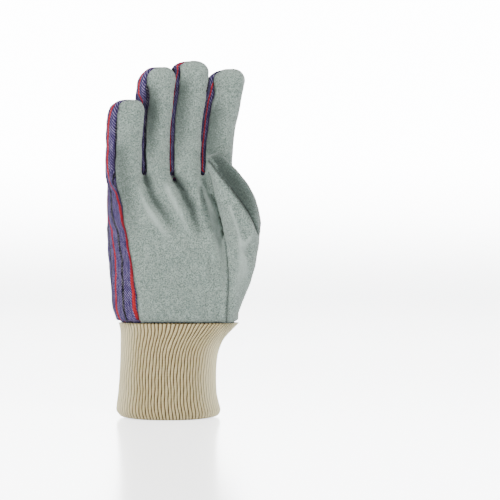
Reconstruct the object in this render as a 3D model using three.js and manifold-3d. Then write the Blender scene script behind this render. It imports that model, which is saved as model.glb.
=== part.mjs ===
// Right-hand work glove with a leather palm, a striped cloth back and a knitted cuff.
// Millimetres, +Z up towards the fingertips, palm towards -Y, thumb towards +X.
// The origin is the centre of the wrist opening, in the plane of the cuff's hem.
import * as THREE from 'three';
import Module from 'manifold-3d';

const wasm = await Module();
wasm.setup();

// Driving sizes
const CUFF_HEIGHT = 71;
const CUFF_WIDTH = 70;
const CUFF_DEPTH = 46;
const CUFF_WALL = 2.4;
const RIB_COUNT = 84;
const RIB_HEIGHT = 0.9;
const HAND_LENGTH = 111;
const PALM_WIDTH = 95;
const PALM_DEPTH = 38;
const LEATHER_WALL = 1.5;
const FABRIC_WALL = 1.2;
const FINGER_WIDTH = 30;
const FINGER_DEPTH = 20;
const LONGEST_FINGER = 103.5;
const FINGER_CLEARANCE = 0.8;
const THUMB_LENGTH = 126;
const SEAM_GAP = 0.3;
// Where two hollow walls would meet at a tip or an edge, the hollow keeps this thickness
const LEAST_HOLLOW = 0.4;

// Heights that follow from them
const SHELL_BOTTOM = CUFF_HEIGHT + SEAM_GAP;
const CROTCH_HEIGHT = SHELL_BOTTOM + HAND_LENGTH;
const ROOT_DEPTH_SHARE = 0.16;
const FINGER_ROOT = CROTCH_HEIGHT - ROOT_DEPTH_SHARE * HAND_LENGTH;

// Numbers of faces
const PALM_SIDES = 40;
const PALM_STEPS = 14;
const FINGER_SIDES = 16;
const THUMB_SIDES = 20;
const THUMB_STEPS = 12;
const CUFF_STEPS = 4;
const CUFF_INNER_SIDES = 32;
const SHEET_COLUMNS = 18;
const SHEET_ROWS = 13;
// Above 1, these draw the levels closer together towards the top
const PALM_SPACING = 1.35;
const THUMB_SPACING = 1.6;
const CUFF_SPACING = 1.25;

// A cutting block reaches this far past the glove on every side
const REACH = 2 * PALM_WIDTH;

// Each table below has named columns. Lengths are shares of a named size.
const table = (columns, rows) =>
  rows.map((row) => Object.fromEntries(columns.map((name, i) => [name, row[i]])));

// Palm and back of the hand: up is a share of HAND_LENGTH, left and right of PALM_WIDTH,
// front and back of PALM_DEPTH, turn in degrees about the vertical.
const PALM_ROWS = table(['up', 'left', 'right', 'front', 'back', 'turn'], [
  [0.00, -0.392, 0.538, -0.59, 0.58, 0],
  [0.04, -0.418, 0.548, -0.61, 0.59, 0],
  [0.10, -0.440, 0.556, -0.62, 0.60, 0],
  [0.20, -0.452, 0.562, -0.61, 0.59, 1],
  [0.34, -0.464, 0.566, -0.58, 0.56, 2],
  [0.48, -0.478, 0.562, -0.53, 0.53, 3],
  [0.62, -0.486, 0.545, -0.46, 0.48, 5],
  [0.76, -0.488, 0.520, -0.39, 0.42, 7],
  [0.88, -0.490, 0.500, -0.30, 0.34, 9],
  [0.95, -0.484, 0.490, -0.19, 0.23, 10],
  [1.00, -0.465, 0.470, -0.05, 0.07, 10],
]);
const PALM_SQUARENESS = 2.5;
// The hollow runs past the shell's open bottom by this share of HAND_LENGTH
const HOLLOW_OVERRUN = 0.05;

// Fingers: reach is a share of LONGEST_FINGER, root and tip of PALM_WIDTH across, bow is
// how far the middle of the finger leans aside, wide is a share of FINGER_WIDTH, and set
// is how far the finger stands to the back, as a share of PALM_DEPTH.
const FINGERS = table(['name', 'reach', 'root', 'tip', 'bow', 'wide', 'set'], [
  ['little', 0.725, -0.326, -0.308, -0.026, 0.97, -0.130],
  ['ring', 0.957, -0.120, -0.066, -0.036, 0.99, -0.050],
  ['middle', 1.000, 0.112, 0.182, -0.038, 1.05, 0.040],
  ['index', 0.947, 0.345, 0.480, -0.046, 1.02, 0.110],
]);
// Along each finger: up is a share of its length, wide and deep of FINGER_WIDTH and
// FINGER_DEPTH, curl of FINGER_DEPTH towards the palm.
const FINGER_ROWS = table(['up', 'wide', 'deep', 'curl'], [
  [0.000, 0.88, 1.12, 0.00],
  [0.170, 0.98, 1.12, 0.00],
  [0.340, 1.01, 1.06, 0.02],
  [0.520, 0.99, 1.00, 0.07],
  [0.700, 1.02, 1.00, 0.16],
  [0.820, 1.01, 0.99, 0.24],
  [0.905, 0.92, 0.90, 0.29],
  [0.962, 0.70, 0.68, 0.32],
  [1.000, 0.26, 0.24, 0.34],
]);
const FINGER_TURN = -12;
const FINGER_SQUARENESS = 2.2;
// Neighbouring fingers press flat against each other along a plane that leans by this
// angle, so that each one laps in front of the next. Below the crotch, and past the tip
// of the shorter one, the plane gives way at these rates.
const PRESS_ANGLE = 40;
const PRESS_EASE_BELOW = 1.3;
const PRESS_EASE_ABOVE = 0.7;
const PRESS_TIP_SHARE = 0.98;

// Thumb and the wing below it: up is a share of THUMB_LENGTH, left and right of
// PALM_WIDTH, front and back of PALM_DEPTH.
const THUMB_ROWS = table(['up', 'left', 'right', 'front', 'back'], [
  [0.000, 0.380, 0.536, -0.50, 0.10],
  [0.110, 0.400, 0.580, -0.55, 0.16],
  [0.230, 0.415, 0.644, -0.64, 0.17],
  [0.340, 0.432, 0.688, -0.74, 0.13],
  [0.450, 0.438, 0.716, -0.83, 0.04],
  [0.550, 0.438, 0.726, -0.90, -0.06],
  [0.635, 0.416, 0.724, -0.92, -0.16],
  [0.725, 0.382, 0.690, -0.91, -0.21],
  [0.815, 0.355, 0.630, -0.88, -0.25],
  [0.890, 0.328, 0.556, -0.84, -0.29],
  [0.945, 0.314, 0.484, -0.78, -0.34],
  [0.980, 0.326, 0.438, -0.71, -0.41],
  [1.000, 0.365, 0.405, -0.61, -0.51],
]);
const THUMB_SQUARENESS = 2.15;

// Cuff: up is a share of CUFF_HEIGHT, left and right of CUFF_WIDTH, deep of CUFF_DEPTH.
const CUFF_ROWS = table(['up', 'left', 'right', 'deep'], [
  [0.00, -0.535, 0.530, 1.08],
  [0.10, -0.548, 0.530, 1.08],
  [0.26, -0.522, 0.510, 1.04],
  [0.50, -0.492, 0.500, 0.99],
  [0.68, -0.488, 0.518, 0.96],
  [0.82, -0.494, 0.568, 0.95],
  [0.92, -0.506, 0.650, 0.96],
  [1.00, -0.530, 0.726, 0.97],
]);
const CUFF_SQUARENESS = 2.3;

// Folds of the skin: each runs through three places, across as a share of PALM_WIDTH and
// up as a share of HAND_LENGTH. A ridge has a negative depth. Depth is a share of
// PALM_DEPTH and reach of PALM_WIDTH.
const FOLDS = table(
  ['side', 'across1', 'up1', 'across2', 'up2', 'across3', 'up3', 'depth', 'reach'], [
    ['front', -0.18, 0.96, -0.065, 0.84, 0.055, 0.62, 0.095, 0.060],
    ['front', 0.115, 0.97, 0.190, 0.78, 0.255, 0.46, 0.080, 0.058],
    ['front', 0.295, 0.73, 0.325, 0.68, 0.345, 0.62, 0.035, 0.050],
    ['front', 0.025, 0.93, 0.070, 0.79, 0.140, 0.67, -0.050, 0.055],
    ['front', 0.270, 0.90, 0.365, 0.76, 0.410, 0.69, -0.040, 0.055],
    ['front', 0.470, 0.66, 0.550, 0.42, 0.590, 0.18, -0.030, 0.040],
    ['back', -0.170, 0.80, -0.230, 0.62, -0.285, 0.05, 0.060, 0.050],
    ['back', 0.060, 0.62, 0.075, 0.35, 0.070, 0.03, 0.060, 0.050],
  ]);

// Edge of the leather on the hand: on the palm side it runs along the little finger's
// side, on the back it runs along the index finger's side. Up is a share of HAND_LENGTH,
// palm and back of PALM_WIDTH.
const LEATHER_EDGE = table(['up', 'palm', 'back'], [
  [-0.10, -0.205, 0.350],
  [0.00, -0.222, 0.368],
  [0.22, -0.250, 0.412],
  [0.42, -0.288, 0.440],
  [0.58, -0.321, 0.450],
  [0.74, -0.360, 0.452],
  [0.90, -0.392, 0.452],
  [1.10, -0.404, 0.452],
]);
// On the fingers the leather's edge stands forward of the finger's middle by lift, and
// moves back by slope for each millimetre across.
const FINGER_EDGE_LIFT = 0.20;
const FINGER_EDGE_SLOPE = 0.16;
const FINGER_EDGE_START = 0.80;
const FINGER_EDGE_FULL = 0.98;
// A finger's edge is followed within this share of its width
const FINGER_EDGE_REACH = 0.36;

// Edge of the thumb and its wing against the palm: up is a share of THUMB_LENGTH, palm
// and side of PALM_WIDTH, palm_in and side_in of PALM_DEPTH.
const THUMB_EDGE = table(['up', 'palm', 'palm_in', 'side', 'side_in'], [
  [-0.15, 0.461, -0.22, 0.520, 0.11],
  [0.00, 0.461, -0.22, 0.525, 0.12],
  [0.25, 0.472, -0.22, 0.548, 0.12],
  [0.42, 0.460, -0.23, 0.555, 0.09],
  [0.52, 0.442, -0.25, 0.552, 0.00],
  [0.58, 0.418, -0.29, 0.546, -0.10],
  [0.64, 0.360, -0.32, 0.538, -0.21],
  [0.74, 0.240, -0.37, 0.526, -0.26],
  [1.15, 0.200, -0.45, 0.520, -0.27],
]);
// Seam between the thumb's two panels, on its palm side and on its far side. It crosses
// the thumb's tip between these two depths, as shares of PALM_DEPTH.
const THUMB_SEAM_FRONT = -0.62;
const THUMB_SEAM_BACK = -0.27;
const THUMB_SEAM = table(['up', 'palm', 'far'], [
  [0.42, 0.780, 0.950],
  [0.52, 0.716, 0.850],
  [0.595, 0.672, 0.780],
  [0.645, 0.637, 0.735],
  [0.730, 0.555, 0.680],
  [0.800, 0.483, 0.640],
  [0.885, 0.387, 0.530],
  [0.945, 0.326, 0.450],
  [0.985, 0.240, 0.400],
  [1.150, 0.100, 0.300],
]);

// Small helpers for tables and curves
const mix = (a, b, t) => a + (b - a) * t;
const clamp01 = (t) => Math.min(1, Math.max(0, t));
const smooth = (t) => clamp01(t) ** 2 * (3 - 2 * clamp01(t));

// A smooth curve through one column, at any value of the first column
function column(rows, name, at) {
  const last = rows.length - 1;
  let i = rows.findIndex((row) => row.up > at) - 1;
  if (i < 0) i = at <= rows[0].up ? 0 : last - 1;
  const [a, b] = [rows[i], rows[i + 1]];
  const span = b.up - a.up;
  const t = clamp01((at - a.up) / span);
  const before = rows[Math.max(0, i - 1)];
  const after = rows[Math.min(last, i + 2)];
  const slopeA = (b[name] - before[name]) / (b.up - before.up);
  const slopeB = (after[name] - a[name]) / (after.up - a.up);
  const h = t * t * (3 - 2 * t);
  const rise = span * (t * (1 - t) ** 2 * slopeA - t * t * (1 - t) * slopeB);
  return mix(a[name], b[name], h) + rise;
}

// A rounded oval in a level plane
function oval({ x, y, z, wide, deep, turn = 0, squareness, sides, bulge = () => 0 }) {
  const points = [];
  const angle = THREE.MathUtils.degToRad(turn);
  for (let i = 0; i < sides; i += 1) {
    const a = (2 * Math.PI * i) / sides;
    const power = 2 / squareness;
    const u = Math.sign(Math.cos(a)) * Math.abs(Math.cos(a)) ** power;
    const v = Math.sign(Math.sin(a)) * Math.abs(Math.sin(a)) ** power;
    const px = u * (wide / 2 + bulge(i));
    const py = v * (deep / 2 + bulge(i));
    points.push(new THREE.Vector3(
      x + px * Math.cos(angle) - py * Math.sin(angle),
      y + px * Math.sin(angle) + py * Math.cos(angle),
      z,
    ));
  }
  return points;
}

// A closed body through rings of equal count, each end closed by a fan
function loft(rings) {
  const sides = rings[0].length;
  const positions = rings.flat().flatMap((p) => [p.x, p.y, p.z]);
  const middle = (ring) => ring.reduce((sum, p) => sum.add(p), new THREE.Vector3()).divideScalar(sides);
  const index = [];
  for (let r = 0; r < rings.length - 1; r += 1) {
    for (let i = 0; i < sides; i += 1) {
      const a = r * sides + i;
      const b = r * sides + ((i + 1) % sides);
      index.push(a, b, b + sides, a, b + sides, a + sides);
    }
  }
  const bottom = middle(rings[0]);
  const top = middle(rings.at(-1));
  positions.push(bottom.x, bottom.y, bottom.z, top.x, top.y, top.z);
  const bottomIndex = rings.length * sides;
  const topStart = (rings.length - 1) * sides;
  for (let i = 0; i < sides; i += 1) {
    const next = (i + 1) % sides;
    index.push(bottomIndex, next, i);
    index.push(bottomIndex + 1, topStart + i, topStart + next);
  }
  const geometry = new THREE.BufferGeometry();
  geometry.setAttribute('position', new THREE.Float32BufferAttribute(positions, 3));
  geometry.setIndex(index);
  return geometry;
}

function solidOf(geometry) {
  return new wasm.Manifold(new wasm.Mesh({
    numProp: 3,
    vertProperties: new Float32Array(geometry.attributes.position.array),
    triVerts: new Uint32Array(geometry.index.array),
  }));
}

// Folds push a point of the skin in or out
function distanceToPath(x, z, path) {
  let nearest = Infinity;
  let along = 0;
  for (let i = 0; i < path.length - 1; i += 1) {
    const line = new THREE.Line3(path[i], path[i + 1]);
    const t = line.closestPointToPointParameter(new THREE.Vector3(x, 0, z), true);
    const d = line.at(t, new THREE.Vector3()).distanceTo(new THREE.Vector3(x, 0, z));
    if (d < nearest) {
      nearest = d;
      along = (i + t) / (path.length - 1);
    }
  }
  return { nearest, along };
}

const foldPaths = FOLDS.map((fold) => ({
  ...fold,
  path: [1, 2, 3].map((n) => new THREE.Vector3(
    fold[`across${n}`] * PALM_WIDTH,
    0,
    SHELL_BOTTOM + fold[`up${n}`] * HAND_LENGTH,
  )),
}));

function foldDepth(side, x, z) {
  let depth = 0;
  for (const fold of foldPaths.filter((one) => one.side === side)) {
    const { nearest, along } = distanceToPath(x, z, fold.path);
    const fade = 1 - 0.6 * along;
    const reach = fold.reach * PALM_WIDTH;
    depth += fold.depth * PALM_DEPTH * fade * Math.exp(-((nearest / reach) ** 2));
  }
  return depth;
}

function crease(ring, middleY) {
  for (const p of ring) {
    const side = p.y < middleY ? 'front' : 'back';
    const facing = Math.min(1, Math.abs(p.y - middleY) / (0.25 * PALM_DEPTH));
    p.y += foldDepth(side, p.x, p.z) * facing * (side === 'front' ? 1 : -1);
  }
  return ring;
}

// The hand's skin at a share of its height, set in by a wall
function palmSection(up) {
  const get = (name) => column(PALM_ROWS, name, up);
  return {
    x: (get('left') + get('right')) / 2 * PALM_WIDTH,
    y: (get('front') + get('back')) / 2 * PALM_DEPTH,
    wide: (get('right') - get('left')) * PALM_WIDTH,
    deep: (get('back') - get('front')) * PALM_DEPTH,
    turn: get('turn'),
  };
}

function palmLoft(wall) {
  const rings = [];
  const lower = wall > 0 ? -HOLLOW_OVERRUN : 0;
  for (let i = 0; i <= PALM_STEPS; i += 1) {
    const share = i / PALM_STEPS;
    const up = mix(lower, 1, 1 - (1 - share) ** PALM_SPACING);
    const s = palmSection(Math.max(0, up));
    const z = SHELL_BOTTOM + up * HAND_LENGTH - (up > 0 ? wall * up : 0);
    const ring = oval({
      ...s,
      z,
      wide: s.wide - 2 * wall,
      deep: Math.max(s.deep - 2 * wall, LEAST_HOLLOW),
      squareness: PALM_SQUARENESS,
      sides: PALM_SIDES,
    });
    rings.push(crease(ring, s.y));
  }
  return loft(rings);
}

const fingerLength = (finger) => finger.reach * LONGEST_FINGER;

function fingerAxis(finger, up) {
  const row = (name) => column(FINGER_ROWS, name, up);
  const across = mix(finger.root, finger.tip, up) + 4 * finger.bow * up * (1 - up);
  return {
    x: across * PALM_WIDTH,
    y: finger.set * PALM_DEPTH - row('curl') * FINGER_DEPTH,
    wide: row('wide') * finger.wide * FINGER_WIDTH,
    deep: row('deep') * FINGER_DEPTH,
  };
}

// Holds a ring of one finger back from its neighbour's side of the plane between them
function pressAgainst(ring, finger, neighbour, z, wall) {
  const own = fingerAxis(finger, clamp01((z - FINGER_ROOT) / fingerLength(finger)));
  const other = fingerAxis(neighbour, clamp01((z - FINGER_ROOT) / fingerLength(neighbour)));
  const lean = THREE.MathUtils.degToRad(PRESS_ANGLE);
  const away = new THREE.Vector3(Math.cos(lean), Math.sin(lean), 0);
  if (other.x < own.x) away.negate();
  const tip = FINGER_ROOT + PRESS_TIP_SHARE * fingerLength(neighbour);
  const ease = PRESS_EASE_BELOW * Math.max(0, CROTCH_HEIGHT - z)
    + PRESS_EASE_ABOVE * Math.max(0, z - tip);
  const middle = new THREE.Vector3((own.x + other.x) / 2, (own.y + other.y) / 2, z);
  const limit = ease - FINGER_CLEARANCE / 2 - wall;
  for (const p of ring) {
    const past = p.clone().sub(middle).dot(away) - limit;
    if (past > 0) p.addScaledVector(away, -past);
  }
}

function fingerLoft(finger, wall) {
  const place = FINGERS.indexOf(finger);
  const neighbours = [FINGERS[place - 1], FINGERS[place + 1]].filter(Boolean);
  const rings = FINGER_ROWS.map(({ up }) => {
    const s = fingerAxis(finger, up);
    const z = FINGER_ROOT + up * (fingerLength(finger) - wall);
    const ring = oval({
      ...s,
      z,
      wide: Math.max(s.wide - 2 * wall, LEAST_HOLLOW),
      deep: Math.max(s.deep - 2 * wall, LEAST_HOLLOW),
      turn: FINGER_TURN,
      squareness: FINGER_SQUARENESS,
      sides: FINGER_SIDES,
    });
    for (const neighbour of neighbours) pressAgainst(ring, finger, neighbour, z, wall);
    return ring;
  });
  return loft(rings);
}

function thumbLoft(wall) {
  const rings = [];
  for (let i = 0; i <= THUMB_STEPS; i += 1) {
    const up = 1 - (1 - i / THUMB_STEPS) ** THUMB_SPACING;
    const get = (name) => column(THUMB_ROWS, name, up);
    const z = SHELL_BOTTOM + up * (THUMB_LENGTH - wall);
    const y = (get('front') + get('back')) / 2 * PALM_DEPTH;
    const ring = oval({
      x: (get('left') + get('right')) / 2 * PALM_WIDTH,
      y,
      z,
      wide: Math.max((get('right') - get('left')) * PALM_WIDTH - 2 * wall, LEAST_HOLLOW),
      deep: Math.max((get('back') - get('front')) * PALM_DEPTH - 2 * wall, LEAST_HOLLOW),
      squareness: THUMB_SQUARENESS,
      sides: THUMB_SIDES,
    });
    rings.push(crease(ring, y));
  }
  return loft(rings);
}

function handSolid(wall) {
  let solid = solidOf(palmLoft(wall)).add(solidOf(thumbLoft(wall)));
  for (const finger of FINGERS) {
    solid = solid.add(solidOf(fingerLoft(finger, wall)));
  }
  return solid;
}

// How far the skin lies from the middle of the hand, on one side, at a place across
function skinAt(section, x, side) {
  const u = clamp01(Math.abs(x - section.x) / (section.wide / 2));
  const depth = (section.deep / 2) * (1 - u ** PALM_SQUARENESS) ** (1 / PALM_SQUARENESS);
  const turned = (x - section.x) * Math.tan(THREE.MathUtils.degToRad(section.turn));
  return section.y + turned + side * depth;
}

// The sheet along which leather meets cloth: its depth at any place across and up
function leatherEdgeDepth(x, z) {
  const up = (z - SHELL_BOTTOM) / HAND_LENGTH;
  const section = palmSection(Math.min(1, Math.max(0, Math.min(up, 0.9))));
  const palm = column(LEATHER_EDGE, 'palm', up) * PALM_WIDTH;
  const back = column(LEATHER_EDGE, 'back', up) * PALM_WIDTH;
  const t = (x - palm) / (back - palm);
  const hand = mix(skinAt(section, palm, -1), skinAt(section, back, 1), t)
    + (t > 1 ? (t - 1) * PALM_WIDTH : 0) + (t < 0 ? t * PALM_WIDTH : 0);
  let total = 0;
  let weight = 0;
  for (const finger of FINGERS) {
    const along = clamp01((z - FINGER_ROOT) / fingerLength(finger));
    const axis = fingerAxis(finger, along);
    const near = Math.exp(-(((x - axis.x) / (FINGER_EDGE_REACH * FINGER_WIDTH)) ** 2)) + 1e-9;
    const depth = axis.y - FINGER_EDGE_LIFT * FINGER_DEPTH + FINGER_EDGE_SLOPE * (x - axis.x);
    total += near * depth;
    weight += near;
  }
  const share = smooth((up - FINGER_EDGE_START) / (FINGER_EDGE_FULL - FINGER_EDGE_START));
  return mix(hand, total / weight, share);
}

// Everything on the palm side of that sheet, moved back by shift
function leatherSide(shift) {
  const rings = [];
  const low = SHELL_BOTTOM - 0.06 * HAND_LENGTH;
  const high = CROTCH_HEIGHT + LONGEST_FINGER;
  for (let r = 0; r <= SHEET_ROWS; r += 1) {
    const z = mix(low, high, r / SHEET_ROWS);
    const ring = [new THREE.Vector3(-REACH / 2, -REACH, z), new THREE.Vector3(REACH / 2, -REACH, z)];
    for (let c = SHEET_COLUMNS; c >= 0; c -= 1) {
      const x = mix(-0.8, 0.8, c / SHEET_COLUMNS) * PALM_WIDTH;
      ring.push(new THREE.Vector3(x, leatherEdgeDepth(x, z) + shift, z));
    }
    rings.push(ring);
  }
  return solidOf(loft(rings));
}

// Everything on the thumb's side of its seam with the palm, grown by shift
function thumbSide(shift) {
  const rings = THUMB_EDGE.map((row) => {
    const z = SHELL_BOTTOM + row.up * THUMB_LENGTH;
    const palm = row.palm * PALM_WIDTH - shift;
    const side = row.side * PALM_WIDTH;
    return [
      new THREE.Vector3(palm, -REACH, z),
      new THREE.Vector3(REACH, -REACH, z),
      new THREE.Vector3(REACH, REACH / 2 + shift, z),
      new THREE.Vector3(side, row.side_in * PALM_DEPTH + shift, z),
      new THREE.Vector3(palm, row.palm_in * PALM_DEPTH + shift, z),
    ];
  });
  return solidOf(loft(rings));
}

// Everything on the outer side of the seam between the thumb's panels
function outerThumbSide(shift) {
  const front = THUMB_SEAM_FRONT * PALM_DEPTH;
  const back = THUMB_SEAM_BACK * PALM_DEPTH;
  const rings = THUMB_SEAM.map((row) => {
    const z = SHELL_BOTTOM + row.up * THUMB_LENGTH;
    const palm = row.palm * PALM_WIDTH - shift;
    const far = row.far * PALM_WIDTH - shift;
    return [
      new THREE.Vector3(palm, -REACH, z),
      new THREE.Vector3(REACH, -REACH, z),
      new THREE.Vector3(REACH, REACH, z),
      new THREE.Vector3(far, REACH, z),
      new THREE.Vector3(far, back, z),
      new THREE.Vector3(palm, front, z),
    ];
  });
  return solidOf(loft(rings));
}

// Knitted cuff: a ribbed tube, open at both ends
function cuffTube() {
  const ring = (up, wall, sides, z, ribbed) => {
    const get = (name) => column(CUFF_ROWS, name, up);
    return oval({
      x: (get('left') + get('right')) / 2 * CUFF_WIDTH,
      y: 0,
      z,
      wide: (get('right') - get('left')) * CUFF_WIDTH - 2 * wall,
      deep: get('deep') * CUFF_DEPTH - 2 * wall,
      squareness: CUFF_SQUARENESS,
      sides,
      bulge: (i) => (ribbed && i % 2 ? -RIB_HEIGHT / 2 : 0),
    });
  };
  const outer = [];
  const inner = [];
  for (let i = 0; i <= CUFF_STEPS; i += 1) {
    const up = 1 - (1 - i / CUFF_STEPS) ** CUFF_SPACING;
    const z = up * CUFF_HEIGHT;
    outer.push(ring(up, 0, 2 * RIB_COUNT, z, true));
    if (i === 0) inner.push(ring(up, CUFF_WALL, CUFF_INNER_SIDES, z - CUFF_WALL, false));
    inner.push(ring(up, CUFF_WALL, CUFF_INNER_SIDES, z, false));
    if (i === CUFF_STEPS) inner.push(ring(up, CUFF_WALL, CUFF_INNER_SIDES, z + CUFF_WALL, false));
  }
  return solidOf(loft(outer)).subtract(solidOf(loft(inner)));
}

function largestBody(solid) {
  return solid.decompose().reduce((best, one) => (one.volume() > best.volume() ? one : best));
}

// The pieces
const half = SEAM_GAP / 2;
const hand = handSolid(0);
const leatherShell = hand.subtract(handSolid(LEATHER_WALL));
const fabricShell = hand.subtract(handSolid(FABRIC_WALL));
const leatherPart = leatherShell.intersect(leatherSide(-half));
const thumb = leatherShell.intersect(thumbSide(-half));

const solids = {
  leather_palm: leatherPart.subtract(thumbSide(half)),
  fabric_back: fabricShell.subtract(leatherSide(half)).subtract(thumbSide(half)),
  thumb_pad_panel: thumb.subtract(outerThumbSide(half)),
  thumb_back_panel: thumb.intersect(outerThumbSide(-half)),
  knit_cuff: cuffTube(),
};

const leather = new THREE.MeshStandardMaterial({ color: 0xaab4af, roughness: 0.92, metalness: 0 });
const stripedCloth = new THREE.MeshStandardMaterial({ color: 0x4c4668, roughness: 0.95, metalness: 0 });
const knit = new THREE.MeshStandardMaterial({ color: 0xc2b79a, roughness: 0.95, metalness: 0 });
const finishes = {
  leather_palm: leather,
  fabric_back: stripedCloth,
  thumb_pad_panel: leather,
  thumb_back_panel: leather,
  knit_cuff: knit,
};

const glove = new THREE.Group();
for (const [name, solid] of Object.entries(solids)) {
  const { vertProperties, triVerts } = largestBody(solid).getMesh();
  const geometry = new THREE.BufferGeometry();
  geometry.setAttribute('position', new THREE.BufferAttribute(vertProperties, 3));
  geometry.setIndex(new THREE.BufferAttribute(triVerts, 1));
  geometry.computeVertexNormals();
  const mesh = new THREE.Mesh(geometry, finishes[name]);
  mesh.name = name;
  glove.add(mesh);
}

export default glove;
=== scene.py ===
import math

import bpy
import numpy as np
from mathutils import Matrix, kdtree


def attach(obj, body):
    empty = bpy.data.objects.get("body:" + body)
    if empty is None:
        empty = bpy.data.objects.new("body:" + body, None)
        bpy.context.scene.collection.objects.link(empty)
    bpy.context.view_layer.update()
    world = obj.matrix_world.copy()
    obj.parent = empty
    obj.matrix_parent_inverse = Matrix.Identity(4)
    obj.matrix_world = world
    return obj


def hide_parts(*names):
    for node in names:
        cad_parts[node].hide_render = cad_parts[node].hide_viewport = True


# Right-hand work glove: split-leather palm and thumb, striped cloth back, ribbed knit cuff.
# The tables hold millimetres or shares of the named sizes, as the solid model's do.
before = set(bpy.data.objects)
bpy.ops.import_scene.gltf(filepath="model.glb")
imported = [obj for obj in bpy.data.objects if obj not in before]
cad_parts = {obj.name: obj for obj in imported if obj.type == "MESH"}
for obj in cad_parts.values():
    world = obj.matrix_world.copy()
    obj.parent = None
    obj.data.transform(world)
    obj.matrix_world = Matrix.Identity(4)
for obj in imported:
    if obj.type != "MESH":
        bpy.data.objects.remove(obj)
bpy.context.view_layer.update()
bpy.ops.object.select_all(action="DESELECT")

MM = 0.001

# Driving sizes, in millimetres
CUFF_HEIGHT = 71
CUFF_WIDTH = 70
CUFF_DEPTH = 46
CUFF_WALL = 2.2
RIB_COUNT = 84
RIB_HEIGHT = 1.3
RIB_FAN = 3.4
RIB_FAN_REACH = 13
HEM_LIFT = 1.6
HAND_LENGTH = 111
PALM_WIDTH = 95
PALM_DEPTH = 38
LEATHER_WALL = 1.4
FABRIC_WALL = 1.1
FINGER_WIDTH = 30
FINGER_DEPTH = 20
LONGEST_FINGER = 103.5
FINGER_CLEARANCE = 2.3
THUMB_LENGTH = 126
SEAM_GAP = 0.3
VOXEL = 0.9

SHELL_BOTTOM = CUFF_HEIGHT + SEAM_GAP
CROTCH_HEIGHT = SHELL_BOTTOM + HAND_LENGTH
FINGER_ROOT = CROTCH_HEIGHT - 0.16 * HAND_LENGTH


def table(columns, *rows):
    """Named columns of numbers."""
    values = np.array(rows, float)
    return {name: values[:, i] for i, name in enumerate(columns.split())}


PALM_ROWS = table(
    "up left right front back turn",
    (0.00, -0.392, 0.538, -0.59, 0.58, 0),
    (0.04, -0.418, 0.548, -0.61, 0.59, 0),
    (0.10, -0.440, 0.556, -0.62, 0.60, 0),
    (0.20, -0.452, 0.562, -0.61, 0.59, 1),
    (0.34, -0.464, 0.566, -0.58, 0.56, 2),
    (0.48, -0.478, 0.562, -0.53, 0.53, 3),
    (0.62, -0.486, 0.545, -0.46, 0.48, 5),
    (0.76, -0.488, 0.520, -0.39, 0.42, 7),
    (0.88, -0.490, 0.500, -0.30, 0.36, 9),
    (0.95, -0.484, 0.490, -0.19, 0.30, 10),
    (1.00, -0.465, 0.470, -0.05, 0.12, 10),
)
PALM_SQUARENESS = 2.5

# Fingers from the little finger's side. stripe is the cloth's place at the middle of the
# finger's back, in millimetres of cloth, and crowd is how much closer it lies from there
# round to the little finger's side. tip_power is the squareness of the tip's outline. seam
# is how far the leather's seam lies in front of the axis, and close how far it turns level
# at the tip.
FINGERS = [
    dict(reach=0.704, root=-0.326, tip=-0.308, bow=-0.026, wide=0.97, set=-0.130,
         stripe=-114.4, crowd=1.2, tip_power=2.8, seam=0.22, close=0.3),
    dict(reach=0.947, root=-0.120, tip=-0.066, bow=-0.036, wide=0.99, set=-0.050,
         stripe=-75.5, crowd=1.27, tip_power=2.2, seam=0.18, close=0.35),
    dict(reach=0.992, root=0.112, tip=0.182, bow=-0.038, wide=1.05, set=0.040,
         stripe=-28.0, crowd=1.5, tip_power=2.4, seam=0.09, close=0.35),
    dict(reach=0.936, root=0.345, tip=0.480, bow=-0.046, wide=1.02, set=0.110,
         stripe=24.5, crowd=1.37, tip_power=2.2, seam=0.10, close=0.8),
]
FINGER_ROWS = table(
    "up wide deep curl",
    (0.000, 0.86, 0.98, 0.00),
    (0.170, 0.98, 1.10, 0.00),
    (0.340, 1.01, 1.06, 0.02),
    (0.520, 0.99, 1.00, 0.07),
    (0.700, 1.02, 1.00, 0.16),
    (0.820, 1.01, 0.99, 0.24),
    (1.000, 0.99, 0.96, 0.34),
)
FINGER_TURN = -12
FINGER_SQUARENESS = 2.2
TIP_LENGTH = 12.5
PRESS_ANGLE = 40
PRESS_EASE_BELOW = 1.3
PRESS_EASE_ABOVE = 0.7
PRESS_TIP_SHARE = 0.98
TIP_LEAN = 1.6
CROTCH_SOFTNESS = 0.5
CROTCH_SOFTENING = 0.8

THUMB_ROWS = table(
    "up left right front back",
    (0.000, 0.380, 0.536, -0.50, 0.10),
    (0.110, 0.400, 0.580, -0.55, 0.16),
    (0.230, 0.415, 0.644, -0.64, 0.17),
    (0.340, 0.432, 0.688, -0.74, 0.13),
    (0.450, 0.438, 0.716, -0.83, 0.04),
    (0.550, 0.438, 0.726, -0.90, -0.12),
    (0.635, 0.416, 0.724, -0.92, -0.28),
    (0.725, 0.382, 0.690, -0.91, -0.36),
    (0.815, 0.355, 0.630, -0.88, -0.36),
    (0.890, 0.328, 0.556, -0.84, -0.37),
    (0.945, 0.314, 0.484, -0.78, -0.40),
    (0.980, 0.326, 0.438, -0.71, -0.41),
    (1.000, 0.365, 0.405, -0.61, -0.51),
)
THUMB_SQUARENESS = 2.15

CUFF_ROWS = table(
    "up left right deep",
    (0.00, -0.518, 0.540, 1.08),
    (0.06, -0.558, 0.560, 1.09),
    (0.14, -0.556, 0.544, 1.08),
    (0.26, -0.541, 0.520, 1.05),
    (0.50, -0.523, 0.515, 1.00),
    (0.68, -0.514, 0.537, 0.97),
    (0.82, -0.512, 0.592, 0.96),
    (0.92, -0.512, 0.680, 0.96),
    (1.00, -0.530, 0.760, 0.97),
)
CUFF_SQUARENESS = 2.3

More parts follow.
